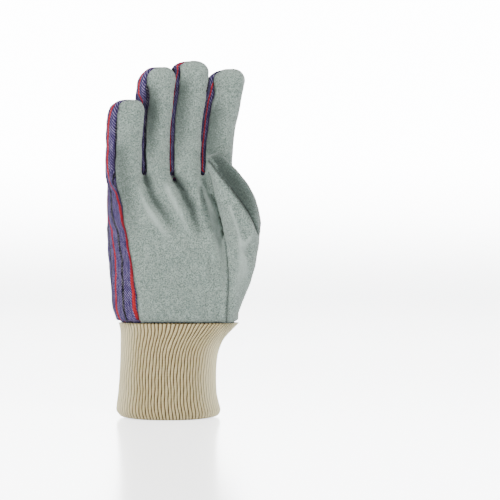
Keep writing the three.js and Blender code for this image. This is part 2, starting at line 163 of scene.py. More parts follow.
LEATHER_EDGE = table(
    "up palm back",
    (-0.10, -0.205, 0.350),
    (0.00, -0.222, 0.368),
    (0.22, -0.250, 0.412),
    (0.42, -0.288, 0.440),
    (0.58, -0.321, 0.450),
    (0.74, -0.360, 0.452),
    (0.90, -0.392, 0.452),
    (1.10, -0.404, 0.452),
)
SEAM_TIP_REACH = 22
FINGER_EDGE_SLOPE = 0.75
FINGER_EDGE_START = 0.84
FINGER_EDGE_FULL = 1.00
EDGE_SECTION_TOP = 0.9

THUMB_EDGE = table(
    "up palm palm_in side side_in",
    (-0.15, 0.461, -0.22, 0.520, 0.11),
    (0.00, 0.461, -0.22, 0.525, 0.12),
    (0.25, 0.472, -0.22, 0.548, 0.12),
    (0.42, 0.460, -0.23, 0.555, 0.09),
    (0.52, 0.442, -0.25, 0.552, 0.00),
    (0.58, 0.418, -0.29, 0.546, -0.10),
    (0.64, 0.360, -0.32, 0.538, -0.21),
    (0.74, 0.240, -0.37, 0.526, -0.26),
    (1.01, 0.215, -0.42, 0.522, -0.27),
    (1.08, 0.900, -0.42, 0.900, -0.27),
)
THUMB_SEAM_FRONT = -0.62
THUMB_SEAM_BACK = -0.27
THUMB_SEAM = table(
    "up palm far",
    (0.42, 0.780, 0.950),
    (0.52, 0.716, 0.850),
    (0.595, 0.672, 0.780),
    (0.645, 0.637, 0.735),
    (0.730, 0.555, 0.680),
    (0.800, 0.483, 0.640),
    (0.885, 0.387, 0.530),
    (0.945, 0.326, 0.450),
    (0.985, 0.240, 0.400),
    (1.150, 0.100, 0.300),
)

# Folds of the skin, in millimetres: which side, depth, reach to the left and to the right
# of the fold as it runs down, and its places across and up. A negative depth is a ridge.
# Shade is painted shade without a fold, or a painted highlight where its depth is negative.
# Every fold also paints shade in its hollow and a highlight on its ridge, full at this depth
FOLD_OF_FULL_SHADE = 5.5
FOLD_FACING = 0.2
FINGER_FOLD_EASE = 12
FOLDS = [
    # The two deep folds under the fingers, and the lesser ones towards the thumb
    ("front", 4.8, 2.8, 5.2,
     [(-17.1, 178), (-14.7, 169), (-11.7, 163), (-6.4, 156), (-1.9, 150), (2.6, 142), (8, 135)]),
    ("front", 6.5, 2.8, 5.8,
     [(4.6, 176.5), (8.6, 171), (12.4, 163), (16.2, 156), (18.4, 150), (21.4, 142), (25, 131)]),
    ("front", 1.4, 1.6, 2.2, [(27.5, 176), (31.2, 168), (35.7, 160), (38.7, 153), (40.0, 147)]),
    # Painted highlight with no fold, lifting the shade beside the thumb's root
    ("shade", -3.4, 4.2, 2.6,
     [(29.5, 168), (32.5, 160), (35.0, 152), (37.4, 142), (39.0, 132), (40.2, 122), (40.8, 110)]),
    ("front", 0.9, 1.8, 3.0, [(25.0, 170), (27.0, 160), (28.5, 150), (29.5, 140)]),
    # Ridges beside them
    ("front", -2.0, 3.6, 3.2,
     [(-20, 172), (-16.5, 161), (-11.5, 152), (-6.5, 145), (-1.5, 138), (4.5, 130), (11, 120)]),
    ("front", -1.8, 3.4, 3.0,
     [(0, 174), (4.2, 164), (8.6, 156), (12.3, 148), (16.3, 140), (20, 130)]),
    ("front", -1.5, 1.6, 1.8, [(23.0, 178), (23.3, 168), (24.2, 156), (25.0, 142)]),
    ("front", -1.5, 1.6, 2.0, [(25.0, 176), (30.0, 165), (34.5, 157), (38.0, 150)]),
    # Low creases over the heel of the hand
    ("front", 1.3, 0.9, 1.8, [(30.5, 118), (31.2, 107), (33.5, 94)]),
    ("front", -0.8, 1.6, 1.2, [(28.2, 118), (29.0, 107), (31.4, 94)]),
    ("front", 1.1, 1.0, 1.8, [(29.0, 92), (28.2, 72)]),
    ("front", 0.8, 1.4, 2.6, [(14.0, 128), (22.0, 120), (27.0, 112)]),
    # The thumb's inner panel and its wing
    ("front", -1.6, 1.8, 2.4,
     [(47.0, 156), (50.8, 147), (53.8, 136), (56.0, 126), (58.3, 110), (59.0, 95)]),
    ("front", 1.5, 1.6, 3.0, [(49.8, 155), (53.4, 146), (56.4, 136), (58.6, 126), (61.0, 110)]),
    ("front", -1.8, 2.0, 3.0, [(57.0, 128), (62.0, 134), (67.0, 137)]),
    ("front", 1.5, 2.0, 3.0, [(58.5, 122), (63.0, 128), (67.0, 130)]),
    # Hollows down the fingers
    ("finger", 2.4, 3.0, 8.5, [(-15.5, 242), (-15.0, 225), (-15.5, 205), (-16.0, 184)]),
    ("finger", 0.9, 6.0, 6.0, [(-10.0, 234), (-8.5, 222)]),
    ("finger", 2.3, 3.0, 9.0, [(7.5, 246), (6.5, 225), (5.0, 205), (4.8, 184)]),
    ("finger", 2.3, 3.0, 10.0, [(34.0, 246), (30.5, 225), (28.5, 205), (27.5, 184)]),
    ("finger", 1.2, 4.0, 4.0, [(-38.5, 231), (-30.0, 229), (-24.0, 230)]),
    # Painted shade and painted highlight, with no fold, on the fingers, the palm and the thumb
    ("shade", 2.8, 4.0, 7.0, [(-13.5, 240), (-12.0, 225), (-12.5, 205), (-13.5, 184)]),
    ("shade", 2.3, 5.0, 8.0, [(12.0, 247), (12.0, 235), (10.0, 222), (8.5, 205), (8.0, 184)]),
    ("shade", 2.6, 5.0, 9.0, [(34.5, 228), (32.5, 215), (30.0, 200), (29.5, 184)]),
    ("shade", 4.6, 1.0, 1.4, [(-17.6, 182), (-16.9, 178), (-15.5, 172)]),
    ("shade", 4.6, 1.0, 1.4, [(2.9, 182), (4.4, 178), (6.5, 174)]),
    ("shade", -1.7, 5.0, 5.0, [(57.0, 128), (56.0, 112), (53.0, 96), (50.0, 84)]),
    ("shade", 3.3, 6.0, 10.0, [(-36.5, 196), (-34.0, 174), (-29.0, 150), (-25.0, 126)]),
    ("shade", 0.8, 26.0, 26.0, [(2.0, 112), (4.0, 74), (4.0, 60)]),
    # A painted shadow in the slit between the thumb and the palm
    ("shade", 6.0, 0.8, 0.9, [(38.6, 150), (39.8, 146), (41.3, 141), (42.3, 136)]),
    ("shade", 5.0, 3.0, 13.0, [(39.5, 185), (48.5, 173), (55.5, 162), (61.0, 152), (64.0, 144)]),
    # The back's folds under the crotches, and the swells between them
    ("back", 2.6, 2.2, 2.2,
     [(14.5, 183), (13.2, 169), (8.2, 154), (6.2, 140), (5.0, 118), (6.8, 74)]),
    ("back", 2.6, 2.2, 2.2,
     [(-8.5, 183), (-15.8, 168), (-19.9, 154), (-21.8, 140), (-23.4, 118), (-27.1, 74)]),
    ("back", 2.2, 2.4, 2.4, [(-29.0, 183), (-39.0, 168), (-43.5, 154), (-45.0, 142)]),
    ("back", -1.5, 5.0, 5.0, [(20.0, 180), (17.5, 160), (12.0, 120)]),
    ("back", -1.5, 5.0, 5.0, [(0.0, 180), (-12.0, 156), (-16.0, 115)]),
]


def mix(a, b, t):
    return a + (b - a) * t


def smooth(t):
    t = np.clip(t, 0, 1)
    return t * t * (3 - 2 * t)


def bell(t):
    """One at zero, falling softly to nothing on both sides."""
    return np.exp(-(t ** 2))


def column(rows, name, at):
    """A smooth curve through one column, at any values of the first column."""
    ups, values = rows["up"], rows[name]
    last = len(ups) - 1
    at = np.asarray(at, float)
    i = np.clip(np.searchsorted(ups, at, side="right") - 1, 0, last - 1)
    low, high = ups[i], ups[i + 1]
    span = high - low
    t = np.clip((at - low) / span, 0, 1)
    before = np.maximum(i - 1, 0)
    after = np.minimum(i + 2, last)
    slope_low = (values[i + 1] - values[before]) / (high - ups[before])
    slope_high = (values[after] - values[i]) / (ups[after] - low)
    rise = span * (t * (1 - t) ** 2 * slope_low - t * t * (1 - t) * slope_high)
    return mix(values[i], values[i + 1], t * t * (3 - 2 * t)) + rise


def oval(angle, squareness):
    """A point on a rounded square of half size 1."""
    across, deep = np.cos(angle), np.sin(angle)
    power = 2 / squareness
    return np.sign(across) * np.abs(across) ** power, np.sign(deep) * np.abs(deep) ** power


def oval_angle(across, deep, squareness):
    """The angle at which a rounded square passes a direction."""
    power = squareness / 2
    a = np.sign(across) * np.abs(across) ** power
    b = np.sign(deep) * np.abs(deep) ** power
    return np.arctan2(b, a) % (2 * math.pi)


# Numbers read from meshes and written to them
def read_points(piece):
    flat = np.empty(len(piece.data.vertices) * 3, np.float32)
    piece.data.vertices.foreach_get("co", flat)
    return flat.reshape(-1, 3).astype(float) / MM


def read_normals(piece):
    flat = np.empty(len(piece.data.vertices) * 3, np.float32)
    piece.data.vertices.foreach_get("normal", flat)
    return flat.reshape(-1, 3).astype(float)


def write_points(piece, points):
    piece.data.vertices.foreach_set("co", (points * MM).astype(np.float32).ravel())
    piece.data.update()


def add_mark(piece, name, values):
    """One value at every point, for the finish."""
    mark = piece.data.attributes.new(name, "FLOAT", "POINT")
    mark.data.foreach_set("value", values.astype(np.float32))


def point_of_corner(piece):
    points = np.empty(len(piece.data.loops), np.int32)
    piece.data.loops.foreach_get("vertex_index", points)
    return points


def add_map(piece, name, across, along):
    """A flat map over the faces' corners, in millimetres or ribs."""
    layer = piece.data.uv_layers.new(name=name)
    layer.data.foreach_set("uv", np.stack([across, along], 1).astype(np.float32).ravel())


def only(piece):
    bpy.ops.object.select_all(action="DESELECT")
    piece.select_set(True)
    bpy.context.view_layer.objects.active = piece


def apply_modifier(piece, kind, **settings):
    only(piece)
    modifier = piece.modifiers.new(kind.title(), kind)
    for name, value in settings.items():
        setattr(modifier, name, value)
    bpy.ops.object.modifier_apply(modifier=modifier.name)


def stacked_rings(name, sides, levels):
    """A closed tube of level rings, one apart, with the angle and level of every point."""
    bpy.ops.object.select_all(action="DESELECT")
    bpy.ops.mesh.primitive_circle_add(vertices=sides, radius=1, fill_type="NGON")
    tube = bpy.context.active_object
    tube.name = name
    bpy.ops.object.mode_set(mode="EDIT")
    bpy.ops.mesh.select_all(action="SELECT")
    for _ in range(levels - 1):
        bpy.ops.mesh.extrude_region_move(TRANSFORM_OT_translate={"value": (0, 0, 1)})
    bpy.ops.object.mode_set(mode="OBJECT")
    place = read_points(tube) * MM
    return tube, np.arctan2(place[:, 1], place[:, 0]), np.round(place[:, 2])


# The hand's skin
def palm_section(up):
    left, right = column(PALM_ROWS, "left", up), column(PALM_ROWS, "right", up)
    front, back = column(PALM_ROWS, "front", up), column(PALM_ROWS, "back", up)
    return {
        "x": (left + right) / 2 * PALM_WIDTH,
        "y": (front + back) / 2 * PALM_DEPTH,
        "wide": (right - left) * PALM_WIDTH,
        "deep": (back - front) * PALM_DEPTH,
        "turn": np.radians(column(PALM_ROWS, "turn", up)),
    }


def turned(x, y, turn):
    return x * np.cos(turn) - y * np.sin(turn), x * np.sin(turn) + y * np.cos(turn)


def distance_to_path(x, z, path):
    """Distance from a bent line, the share of its length, and whether it lies to the right
    of it as it runs down, at many places."""
    nearest = np.full(x.shape, np.inf)
    along = np.zeros(x.shape)
    right = np.zeros(x.shape, bool)
    for i in range(len(path) - 1):
        (ax, az), (bx, bz) = path[i], path[i + 1]
        length = (bx - ax) ** 2 + (bz - az) ** 2
        t = np.clip(((x - ax) * (bx - ax) + (z - az) * (bz - az)) / length, 0, 1)
        d = np.hypot(x - mix(ax, bx, t), z - mix(az, bz, t))
        closer = d < nearest
        nearest = np.where(closer, d, nearest)
        along = np.where(closer, (i + t) / (len(path) - 1), along)
        turn = (x - ax) * (bz - az) - (z - az) * (bx - ax)
        right = np.where(closer, turn < 0, right)
    return nearest, along, right


def fold_depth(side, x, z):
    depth = np.zeros(x.shape)
    for fold_side, deep, reach_left, reach_right, path in FOLDS:
        if fold_side == side:
            nearest, along, right = distance_to_path(x, z, path)
            reach = np.where(right, reach_right, reach_left)
            depth += deep * (1 - along ** 3) * bell(nearest / reach)
    return depth


def crease(points, middle, fingers=False):
    """Presses the folds into the front and the back of a form."""
    facing = np.minimum(1, np.abs(points[:, 1] - middle) / (FOLD_FACING * PALM_DEPTH))
    front = fold_depth("front", points[:, 0], points[:, 2])
    if fingers:
        front += fold_depth("finger", points[:, 0], points[:, 2])
    back = -fold_depth("back", points[:, 0], points[:, 2])
    points[:, 1] += np.where(points[:, 1] < middle, front, back) * facing


def palm_form():
    levels = 60
    form, angle, level = stacked_rings("palm_form", 120, levels)
    overrun, crowding = 0.07, 1.2
    up = mix(-overrun, 1, 1 - (1 - level / (levels - 1)) ** crowding)
    section = palm_section(up)
    u, v = oval(angle, PALM_SQUARENESS)
    x, y = turned(u * section["wide"] / 2, v * section["deep"] / 2, section["turn"])
    points = np.stack([section["x"] + x, section["y"] + y, SHELL_BOTTOM + up * HAND_LENGTH], 1)
    crease(points, section["y"])
    write_points(form, points)
    return form


def finger_length(finger):
    return finger["reach"] * LONGEST_FINGER


def finger_axis(finger, z):
    up = np.clip((z - FINGER_ROOT) / finger_length(finger), 0, 1)
    across = mix(finger["root"], finger["tip"], up) + 4 * finger["bow"] * up * (1 - up)
    return {
        "x": across * PALM_WIDTH,
        "y": finger["set"] * PALM_DEPTH - column(FINGER_ROWS, "curl", up) * FINGER_DEPTH,
        "wide": column(FINGER_ROWS, "wide", up) * finger["wide"] * FINGER_WIDTH,
        "deep": column(FINGER_ROWS, "deep", up) * FINGER_DEPTH,
    }


def past_press_plane(points, finger, neighbour):
    """How far points lie past the plane midway to the next finger, and the way to it."""
    z = points[:, 2]
    own, other = finger_axis(finger, z), finger_axis(neighbour, z)
    lean = math.radians(PRESS_ANGLE)
    away = np.array([math.cos(lean), math.sin(lean)])
    if FINGERS.index(neighbour) < FINGERS.index(finger):
        away = -away
    from_middle = points[:, :2] - np.stack([own["x"] + other["x"], own["y"] + other["y"]], 1) / 2
    return from_middle @ away, away


def past_middle(points, i):
    """How far points lie past finger i towards the next one. Above the tip of the shorter
    of the two they count more and more as the longer one's."""
    first, second = FINGERS[i], FINGERS[i + 1]
    past, _ = past_press_plane(points, first, second)
    shorter = min(first, second, key=finger_length)
    tip = FINGER_ROOT + PRESS_TIP_SHARE * finger_length(shorter)
    ease = TIP_LEAN * np.maximum(0, points[:, 2] - tip)
    return past + (ease if shorter is first else -ease)


def by_finger(points, values):
    """Each finger's own value, mixed softly under the crotches."""
    softness = CROTCH_SOFTNESS + CROTCH_SOFTENING * np.maximum(0, CROTCH_HEIGHT - points[:, 2])
    mixed = values[0]
    for i in range(len(FINGERS) - 1):
        past = past_middle(points, i)
        mixed = mix(mixed, values[i + 1], smooth(past / (2 * softness) + 0.5))
    return mixed


def finger_form(finger):
    levels = 64
    form, angle, level = stacked_rings("finger_form", 56, levels)
    crowding = 1.15
    up = np.sin(level / (levels - 1) * math.pi / 2) ** crowding
    z = FINGER_ROOT + up * finger_length(finger)
    axis = finger_axis(finger, z)
    left = np.clip((FINGER_ROOT + finger_length(finger) - z) / TIP_LENGTH, 0, 1)
    power = finger["tip_power"]
    round_tip = np.maximum(1 - (1 - left) ** power, 1e-4) ** (1 / power)
    u, v = oval(angle, FINGER_SQUARENESS)
    wide, deep = axis["wide"] / 2 * round_tip, axis["deep"] / 2 * round_tip
    x, y = turned(u * wide, v * deep, math.radians(FINGER_TURN))
    points = np.stack([axis["x"] + x, axis["y"] + y, z], 1)
    crease(points, axis["y"], fingers=True)
    place = FINGERS.index(finger)
    for neighbour in FINGERS[max(0, place - 1):place] + FINGERS[place + 1:place + 2]:
        past, away = past_press_plane(points, finger, neighbour)
        tip = FINGER_ROOT + PRESS_TIP_SHARE * finger_length(neighbour)
        ease = PRESS_EASE_BELOW * np.maximum(0, CROTCH_HEIGHT - z)
        ease += PRESS_EASE_ABOVE * np.maximum(0, z - tip)
        past = np.maximum(0, past - ease + FINGER_CLEARANCE / 2)
        points[:, :2] -= past[:, None] * away
    write_points(form, points)
    return form


def thumb_form():
    levels = 80
    form, angle, level = stacked_rings("thumb_form", 72, levels)
    overrun, crowding = 0.06, 1.5
    up = mix(-overrun, 1, 1 - (1 - level / (levels - 1)) ** crowding)
    left, right = column(THUMB_ROWS, "left", up), column(THUMB_ROWS, "right", up)
    front, back = column(THUMB_ROWS, "front", up), column(THUMB_ROWS, "back", up)
    u, v = oval(angle, THUMB_SQUARENESS)
    middle = (front + back) / 2 * PALM_DEPTH
    points = np.stack([
        (left + right) / 2 * PALM_WIDTH + u * (right - left) / 2 * PALM_WIDTH,
        middle + v * (back - front) / 2 * PALM_DEPTH,
        SHELL_BOTTOM + up * THUMB_LENGTH,
    ], 1)
    crease(points, middle)
    write_points(form, points)
    return form


# Height, period and turn of each soft swell of the skin
SWELLS = ((0.35, 26, 0.4), (0.16, 11, 1.9))
PUCKER_COUNT = 38
PUCKER_HEIGHT = 0.45
PUCKER_REACH = 9
ROLL_DEPTH = 1.6
ROLL_REACH = 1.7


def ripple(points, period, turn):
    """A soft uneven swell over space, from -1 to 1."""
    x, y, z = (points / period).T * 2 * math.pi
    first = np.sin(x + 0.8 * z + 1.3 * np.sin(0.61 * z - 0.7 * y + turn) + turn)
    second = np.sin(0.9 * y - 1.1 * z + 1.7 * np.sin(0.53 * x + 0.4 * z + 2 * turn) + 3 * turn)
    third = np.sin(0.7 * x + 1.2 * y + 0.5 * z + 1.1 * np.sin(0.8 * y + turn) + 5 * turn)
    return (first + second + third) / 3


def hand_skin():
    forms = [palm_form(), thumb_form()] + [finger_form(finger) for finger in FINGERS]
    bpy.ops.object.select_all(action="DESELECT")
    for form in forms:
        form.select_set(True)
    bpy.context.view_layer.objects.active = forms[0]
    bpy.ops.object.join()
    skin = bpy.context.active_object
    skin.name = "hand_skin"
    apply_modifier(skin, "REMESH", mode="VOXEL", voxel_size=VOXEL * MM)
    apply_modifier(skin, "SMOOTH", factor=0.5, iterations=6)
    bpy.ops.object.mode_set(mode="EDIT")
    bpy.ops.mesh.select_all(action="SELECT")
    bpy.ops.mesh.bisect(
        plane_co=(0, 0, SHELL_BOTTOM * MM), plane_no=(0, 0, 1), clear_inner=True)
    bpy.ops.object.mode_set(mode="OBJECT")
    points, normals = read_points(skin), read_normals(skin)
    over_wrist = points[:, 2] - SHELL_BOTTOM
    around = np.arctan2(points[:, 1], points[:, 0])
    swell = sum(height * ripple(points, period, turn) for height, period, turn in SWELLS)
    puckers = np.sin(PUCKER_COUNT * around + 2.2 * np.sin(5 * around + 1))
    puckers *= PUCKER_HEIGHT * np.exp(-over_wrist / PUCKER_REACH)
    roll = ROLL_DEPTH * bell(over_wrist / ROLL_REACH)
    points += normals * (swell + puckers - roll)[:, None]
    points[:, 2] = np.where(over_wrist < 0.01, SHELL_BOTTOM, points[:, 2])
    write_points(skin, points)
    return skin


# Seams between the panels: each is where a field changes sign
def skin_depth(section, x, side):
    u = np.clip(np.abs(x - section["x"]) / (section["wide"] / 2), 0, 1)
    depth = section["deep"] / 2 * (1 - u ** PALM_SQUARENESS) ** (1 / PALM_SQUARENESS)
    return section["y"] + (x - section["x"]) * np.tan(section["turn"]) + side * depth


def leather_field(points):
    """Below zero on the leather's side of its seam with the cloth."""
    x, y, z = points.T
    up = (z - SHELL_BOTTOM) / HAND_LENGTH
    section = palm_section(np.clip(up, 0, EDGE_SECTION_TOP))
    palm = column(LEATHER_EDGE, "palm", up) * PALM_WIDTH
    back = column(LEATHER_EDGE, "back", up) * PALM_WIDTH
    t = (x - palm) / (back - palm)
    hand = mix(skin_depth(section, palm, -1), skin_depth(section, back, 1), t)
    hand += (np.maximum(t - 1, 0) + np.minimum(t, 0)) * PALM_WIDTH
    edges = []
    for finger in FINGERS:
        axis = finger_axis(finger, z)
        top = smooth((z - FINGER_ROOT - finger_length(finger)) / SEAM_TIP_REACH + 1)
        slope = FINGER_EDGE_SLOPE * (1 - finger["close"] * top)
        forward = (1 - 0.5 * top) * finger["seam"] * FINGER_DEPTH
        edges.append(axis["y"] + slope * (x - axis["x"]) - forward)
    share = smooth((up - FINGER_EDGE_START) / (FINGER_EDGE_FULL - FINGER_EDGE_START))
    return y - mix(hand, by_finger(points, edges), share)


def thumb_field(points):
    """Below zero on the thumb and its wing."""
    x, y, z = points.T
    up = (z - SHELL_BOTTOM) / THUMB_LENGTH
    palm, side = (column(THUMB_EDGE, name, up) * PALM_WIDTH for name in ("palm", "side"))
    palm_in, side_in = (column(THUMB_EDGE, name, up) * PALM_DEPTH for name in ("palm_in", "side_in"))
    edge = mix(palm, side, np.clip((y - palm_in) / (side_in - palm_in), 0, 1))
    return edge + np.maximum(0, y - side_in) - x


def outer_thumb_field(points):
    """Below zero on the outer side of the thumb's own seam."""
    x, y, z = points.T
    up = (z - SHELL_BOTTOM) / THUMB_LENGTH
    palm = column(THUMB_SEAM, "palm", up) * PALM_WIDTH
    far = column(THUMB_SEAM, "far", up) * PALM_WIDTH
    front, back = THUMB_SEAM_FRONT * PALM_DEPTH, THUMB_SEAM_BACK * PALM_DEPTH
    return mix(palm, far, np.clip((y - front) / (back - front), 0, 1)) - x


def cut_along(skin, field):
    """Cuts the faces exactly where a field is zero."""
    points = read_points(skin)
    home = skin.data.attributes.new("home", "FLOAT_VECTOR", "POINT")
    home.data.foreach_set("vector", points.astype(np.float32).ravel())
    moved = points.copy()
    moved[:, 0] = field(points)
    write_points(skin, moved)
    only(skin)
    bpy.ops.object.mode_set(mode="EDIT")
    bpy.ops.mesh.select_all(action="SELECT")
    bpy.ops.mesh.bisect(plane_co=(0, 0, 0), plane_no=(1, 0, 0), threshold=1e-7)
    bpy.ops.object.mode_set(mode="OBJECT")
    flat = np.empty(len(skin.data.vertices) * 3, np.float32)
    skin.data.attributes["home"].data.foreach_get("vector", flat)
    write_points(skin, flat.reshape(-1, 3).astype(float))
    skin.data.attributes.remove(skin.data.attributes["home"])


def split_off(skin, field, name):
    """Separates the faces where a field is below zero into a piece of their own."""
    cut_along(skin, field)
    centres = np.empty(len(skin.data.polygons) * 3, np.float32)
    skin.data.polygons.foreach_get("center", centres)
    inside = field(centres.reshape(-1, 3).astype(float) / MM) < 0
    only(skin)
    bpy.ops.object.mode_set(mode="EDIT")
    bpy.ops.mesh.select_mode(type="FACE")
    bpy.ops.mesh.select_all(action="DESELECT")
    bpy.ops.object.mode_set(mode="OBJECT")
    skin.data.polygons.foreach_set("select", inside)
    bpy.ops.object.mode_set(mode="EDIT")
    bpy.ops.mesh.separate(type="SELECTED")
    bpy.ops.object.mode_set(mode="OBJECT")
    piece = next(one for one in bpy.context.selected_objects if one is not skin)
    piece.name = name
    return piece


# Seams: how uneven they are, how the leather swells beside them and how far the painted shade along them
# reaches
OTHER_SIDE = 20
SEAM_UNEVEN = 0.25
SEAM_RIPPLE = 7
BULGE_SHARE = 0.22
BULGE_PLACE = 2.6
BULGE_REACH = 1.3
SEAM_SHADE_REACH = 1.3


def edge_distance(piece):
    """Each point's distance from the piece's open edge on its own side."""
    points = read_points(piece)
    count = np.zeros(len(piece.data.edges), int)
    edge_of_corner = np.empty(len(piece.data.loops), np.int32)
    piece.data.loops.foreach_get("edge_index", edge_of_corner)
    np.add.at(count, edge_of_corner, 1)
    ends = np.empty(len(piece.data.edges) * 2, np.int32)
    piece.data.edges.foreach_get("vertices", ends)
    rim = np.unique(ends.reshape(-1, 2)[count == 1])
    rim_tree = kdtree.KDTree(len(rim))
    for i, index in enumerate(rim):
        rim_tree.insert(points[index], i)
    rim_tree.balance()
    found = [rim_tree.find(point)[1:] for point in points]
    nearest = rim[[index for index, _ in found]]
    distance = np.array([far for _, far in found])
    normals = read_normals(piece)
    same_side = smooth(((normals * normals[nearest]).sum(1) + 0.1) / 0.5)
    return distance + OTHER_SIDE * (1 - same_side)


def mark_painted_shade(piece):
    """Notes how deep in a fold each point lies, with the shade rows, for the finish's painted shade and
    painted highlight.
    """
    points, normals = read_points(piece), read_normals(piece)
    x, z = points[:, 0], points[:, 2]
    front = fold_depth("front", x, z) + fold_depth("shade", x, z)
    front += fold_depth("finger", x, z) * smooth((z - CROTCH_HEIGHT) / FINGER_FOLD_EASE + 1)
    depth = np.where(normals[:, 1] < 0, front, fold_depth("back", x, z)) / FOLD_OF_FULL_SHADE
    add_mark(piece, "fold", np.clip(depth * np.abs(normals[:, 1]), -0.4, 1))


def sew_edge(piece, depth, reach):
    """Rolls a panel's edge into its seam."""
    distance = edge_distance(piece)
    points, normals = read_points(piece), read_normals(piece)
    uneven = 1 + SEAM_UNEVEN * ripple(points, SEAM_RIPPLE, 0.9)
    drop = bell(distance / reach)
    bulge = BULGE_SHARE * bell((distance - BULGE_PLACE * reach) / (BULGE_REACH * reach))
    points += normals * (depth * (bulge - drop) * uneven)[:, None]
    write_points(piece, points)
    # Painted shade along the seam's groove, for the finish
    add_mark(piece, "seam", bell(distance / SEAM_SHADE_REACH))
    add_mark(piece, "inset", np.minimum(distance, OTHER_SIDE))


def give_wall(piece, wall):
    apply_modifier(piece, "SOLIDIFY", thickness=wall * MM, offset=-1, use_rim=True)
    only(piece)
    bpy.ops.object.shade_smooth()


# Where the cloth's stripes run on the hand. For each height: places across, on the back
# unless marked as front, of some lengths of cloth.
TOP_SECTION = 0.93
FLAT_SHARE = 0.65
FLAT_EASE = 0.25
FINGER_CLOTH_START = 168
FINGER_CLOTH_EASE = 18
YARN_SPREAD = 0.85
KNOT_HEIGHTS = (72, 118, 140, 154, 168, 182)
CLOTH_KNOTS = [
    (37.0, "back", (49, 49, 48.5, 48, 46, 44)),
    (18.5, "back", (31.6, 31.6, 32.0, 32.1, 30.3, 28.2)),
    (0.0, "back", (13.5, 13.5, 14.5, 14.7, 15.8, 17.0)),
    (-11.3, "back", (7.2, 5.4, 6.6, 8.6, 13.6, 14.9)),
    (-25.6, "back", (6.4, 4.6, 5.8, 7.8, 12.8, 14.1)),
    (-37.0, "back", (-5.3, -5.3, -5.0, -4.7, -1.9, 2.5)),
    (-55.5, "back", (-23.5, -21.2, -19.8, -18.3, -13.5, -7.0)),
    (-57.5, "back", (-26.7, -23.0, -21.4, -19.5, -15.4, -8.1)),
    (-72.5, "back", (-27.5, -23.8, -22.2, -20.3, -16.2, -8.9)),
    (-74.0, "back", (-28.8, -25.4, -23.7, -21.5, -17.6, -11.0)),
    (-92.5, "back", (-36.0, -35.6, -36.2, -36.0, -31.5, -25.5)),
    (-105.0, "back", (-39.5, -44.0, -44.4, -43.1, -38.6, -28.6)),
    (-117.0, "front", (-40.8, -43.6, -45.4, -46.3, -46.5, -46.5)),
    (-129.5, "front", (-34.4, -39.3, -42.5, -46.0, -46.2, -46.0)),
    (-148.0, "front", (-20.6, -28.2, -32.6, -36.4, -40.0, -43.5)),
    (-166.5, "front", (-4.0, -12.0, -18.0, -24.0, -32.0, -38.0)),
]


def cloth_on_hand(points):
    """Cloth lengths across at places on the hand."""
    x, y, z = points.T
    up = (z - SHELL_BOTTOM) / HAND_LENGTH
    section = palm_section(np.clip(up, 0, TOP_SECTION))
    u, v = turned(x - section["x"], y - section["y"], -section["turn"])
    u, v = u / (section["wide"] / 2), v / (section["deep"] / 2)
    angle = oval_angle(u, v, PALM_SQUARENESS)
    unfolded = np.arccos(np.sign(u) * np.minimum(1, np.abs(u)) ** (PALM_SQUARENESS / 2))
    away_from_sides = np.where(v > 0, 1 - smooth((np.abs(u) - FLAT_SHARE) / FLAT_EASE), 0)
    angle = mix(angle, unfolded, away_from_sides)
    angle = np.where(angle > 1.6 * math.pi, angle - 2 * math.pi, angle)
    heights = np.array(KNOT_HEIGHTS, float)
    knot_section = palm_section(np.clip((heights - SHELL_BOTTOM) / HAND_LENGTH, 0, TOP_SECTION))
    half = knot_section["wide"] / 2
    knot_angles = []
    for _, side, across in CLOTH_KNOTS:
        share = np.clip((np.array(across) - knot_section["x"]) / half, -1, 1)
        from_side = np.arccos(np.sign(share) * np.abs(share) ** (PALM_SQUARENESS / 2))
        knot_angles.append(from_side if side == "back" else 2 * math.pi - from_side)
    at = [np.interp(z, heights, angles) for angles in knot_angles]
    cloth = np.full(x.shape, CLOTH_KNOTS[0][0])
    for i in range(len(CLOTH_KNOTS) - 1):
        step = CLOTH_KNOTS[i + 1][0] - CLOTH_KNOTS[i][0]
        span = np.maximum(at[i + 1] - at[i], 1e-3)
        cloth += step * np.clip((angle - at[i]) / span, 0, 1)
    return cloth + np.maximum(0, at[0] - angle) * half.mean()


def cloth_on_fingers(points, crowded):
    """Cloth lengths across at places on the fingers, crowded as the stripes are or not."""
    z = points[:, 2]
    place = np.zeros(len(points), int)
    for i in range(3):
        place += past_middle(points, i) > 0
    quarter = np.linspace(0, 2 * math.pi, 181)
    u, v = oval(quarter, FINGER_SQUARENESS)
    cloth = np.zeros(len(points))
    for i, finger in enumerate(FINGERS):
        axis = finger_axis(finger, z)
        x, y = turned(
            points[:, 0] - axis["x"], points[:, 1] - axis["y"], -math.radians(FINGER_TURN))
        angle = oval_angle(x / (axis["wide"] / 2), y / (axis["deep"] / 2), FINGER_SQUARENESS)
        angle = np.where(angle > 1.5 * math.pi, angle - 2 * math.pi, angle)
        wide, deep = finger["wide"] * FINGER_WIDTH / 2, FINGER_DEPTH / 2
        steps = np.hypot(np.diff(u * wide), np.diff(v * deep))
        arcs = np.concatenate([[0], np.cumsum(steps)])
        arc = np.interp(angle % (2 * math.pi), quarter, arcs)
        arc = np.where(angle < 0, arc - arcs[-1], arc)
        middle = np.interp(math.pi / 2, quarter, arcs)
        arc = arc - middle
        arc = np.where(arc > 0, finger["crowd"] * arc, arc) if crowded else YARN_SPREAD * arc
        cloth = np.where(place == i, finger["stripe"] - arc, cloth)
    return cloth


def lay_cloth(piece):
    """Gives the cloth its maps for stripes and yarns: across and up, in millimetres."""
    points = read_points(piece)
    z = points[:, 2]
    share = smooth((z - FINGER_CLOTH_START) / FINGER_CLOTH_EASE)
    corner = point_of_corner(piece)
    for name, crowded in (("stripes", True), ("yarns", False)):
        across = mix(cloth_on_hand(points), cloth_on_fingers(points, crowded), share)
        add_map(piece, name, across[corner], z[corner])


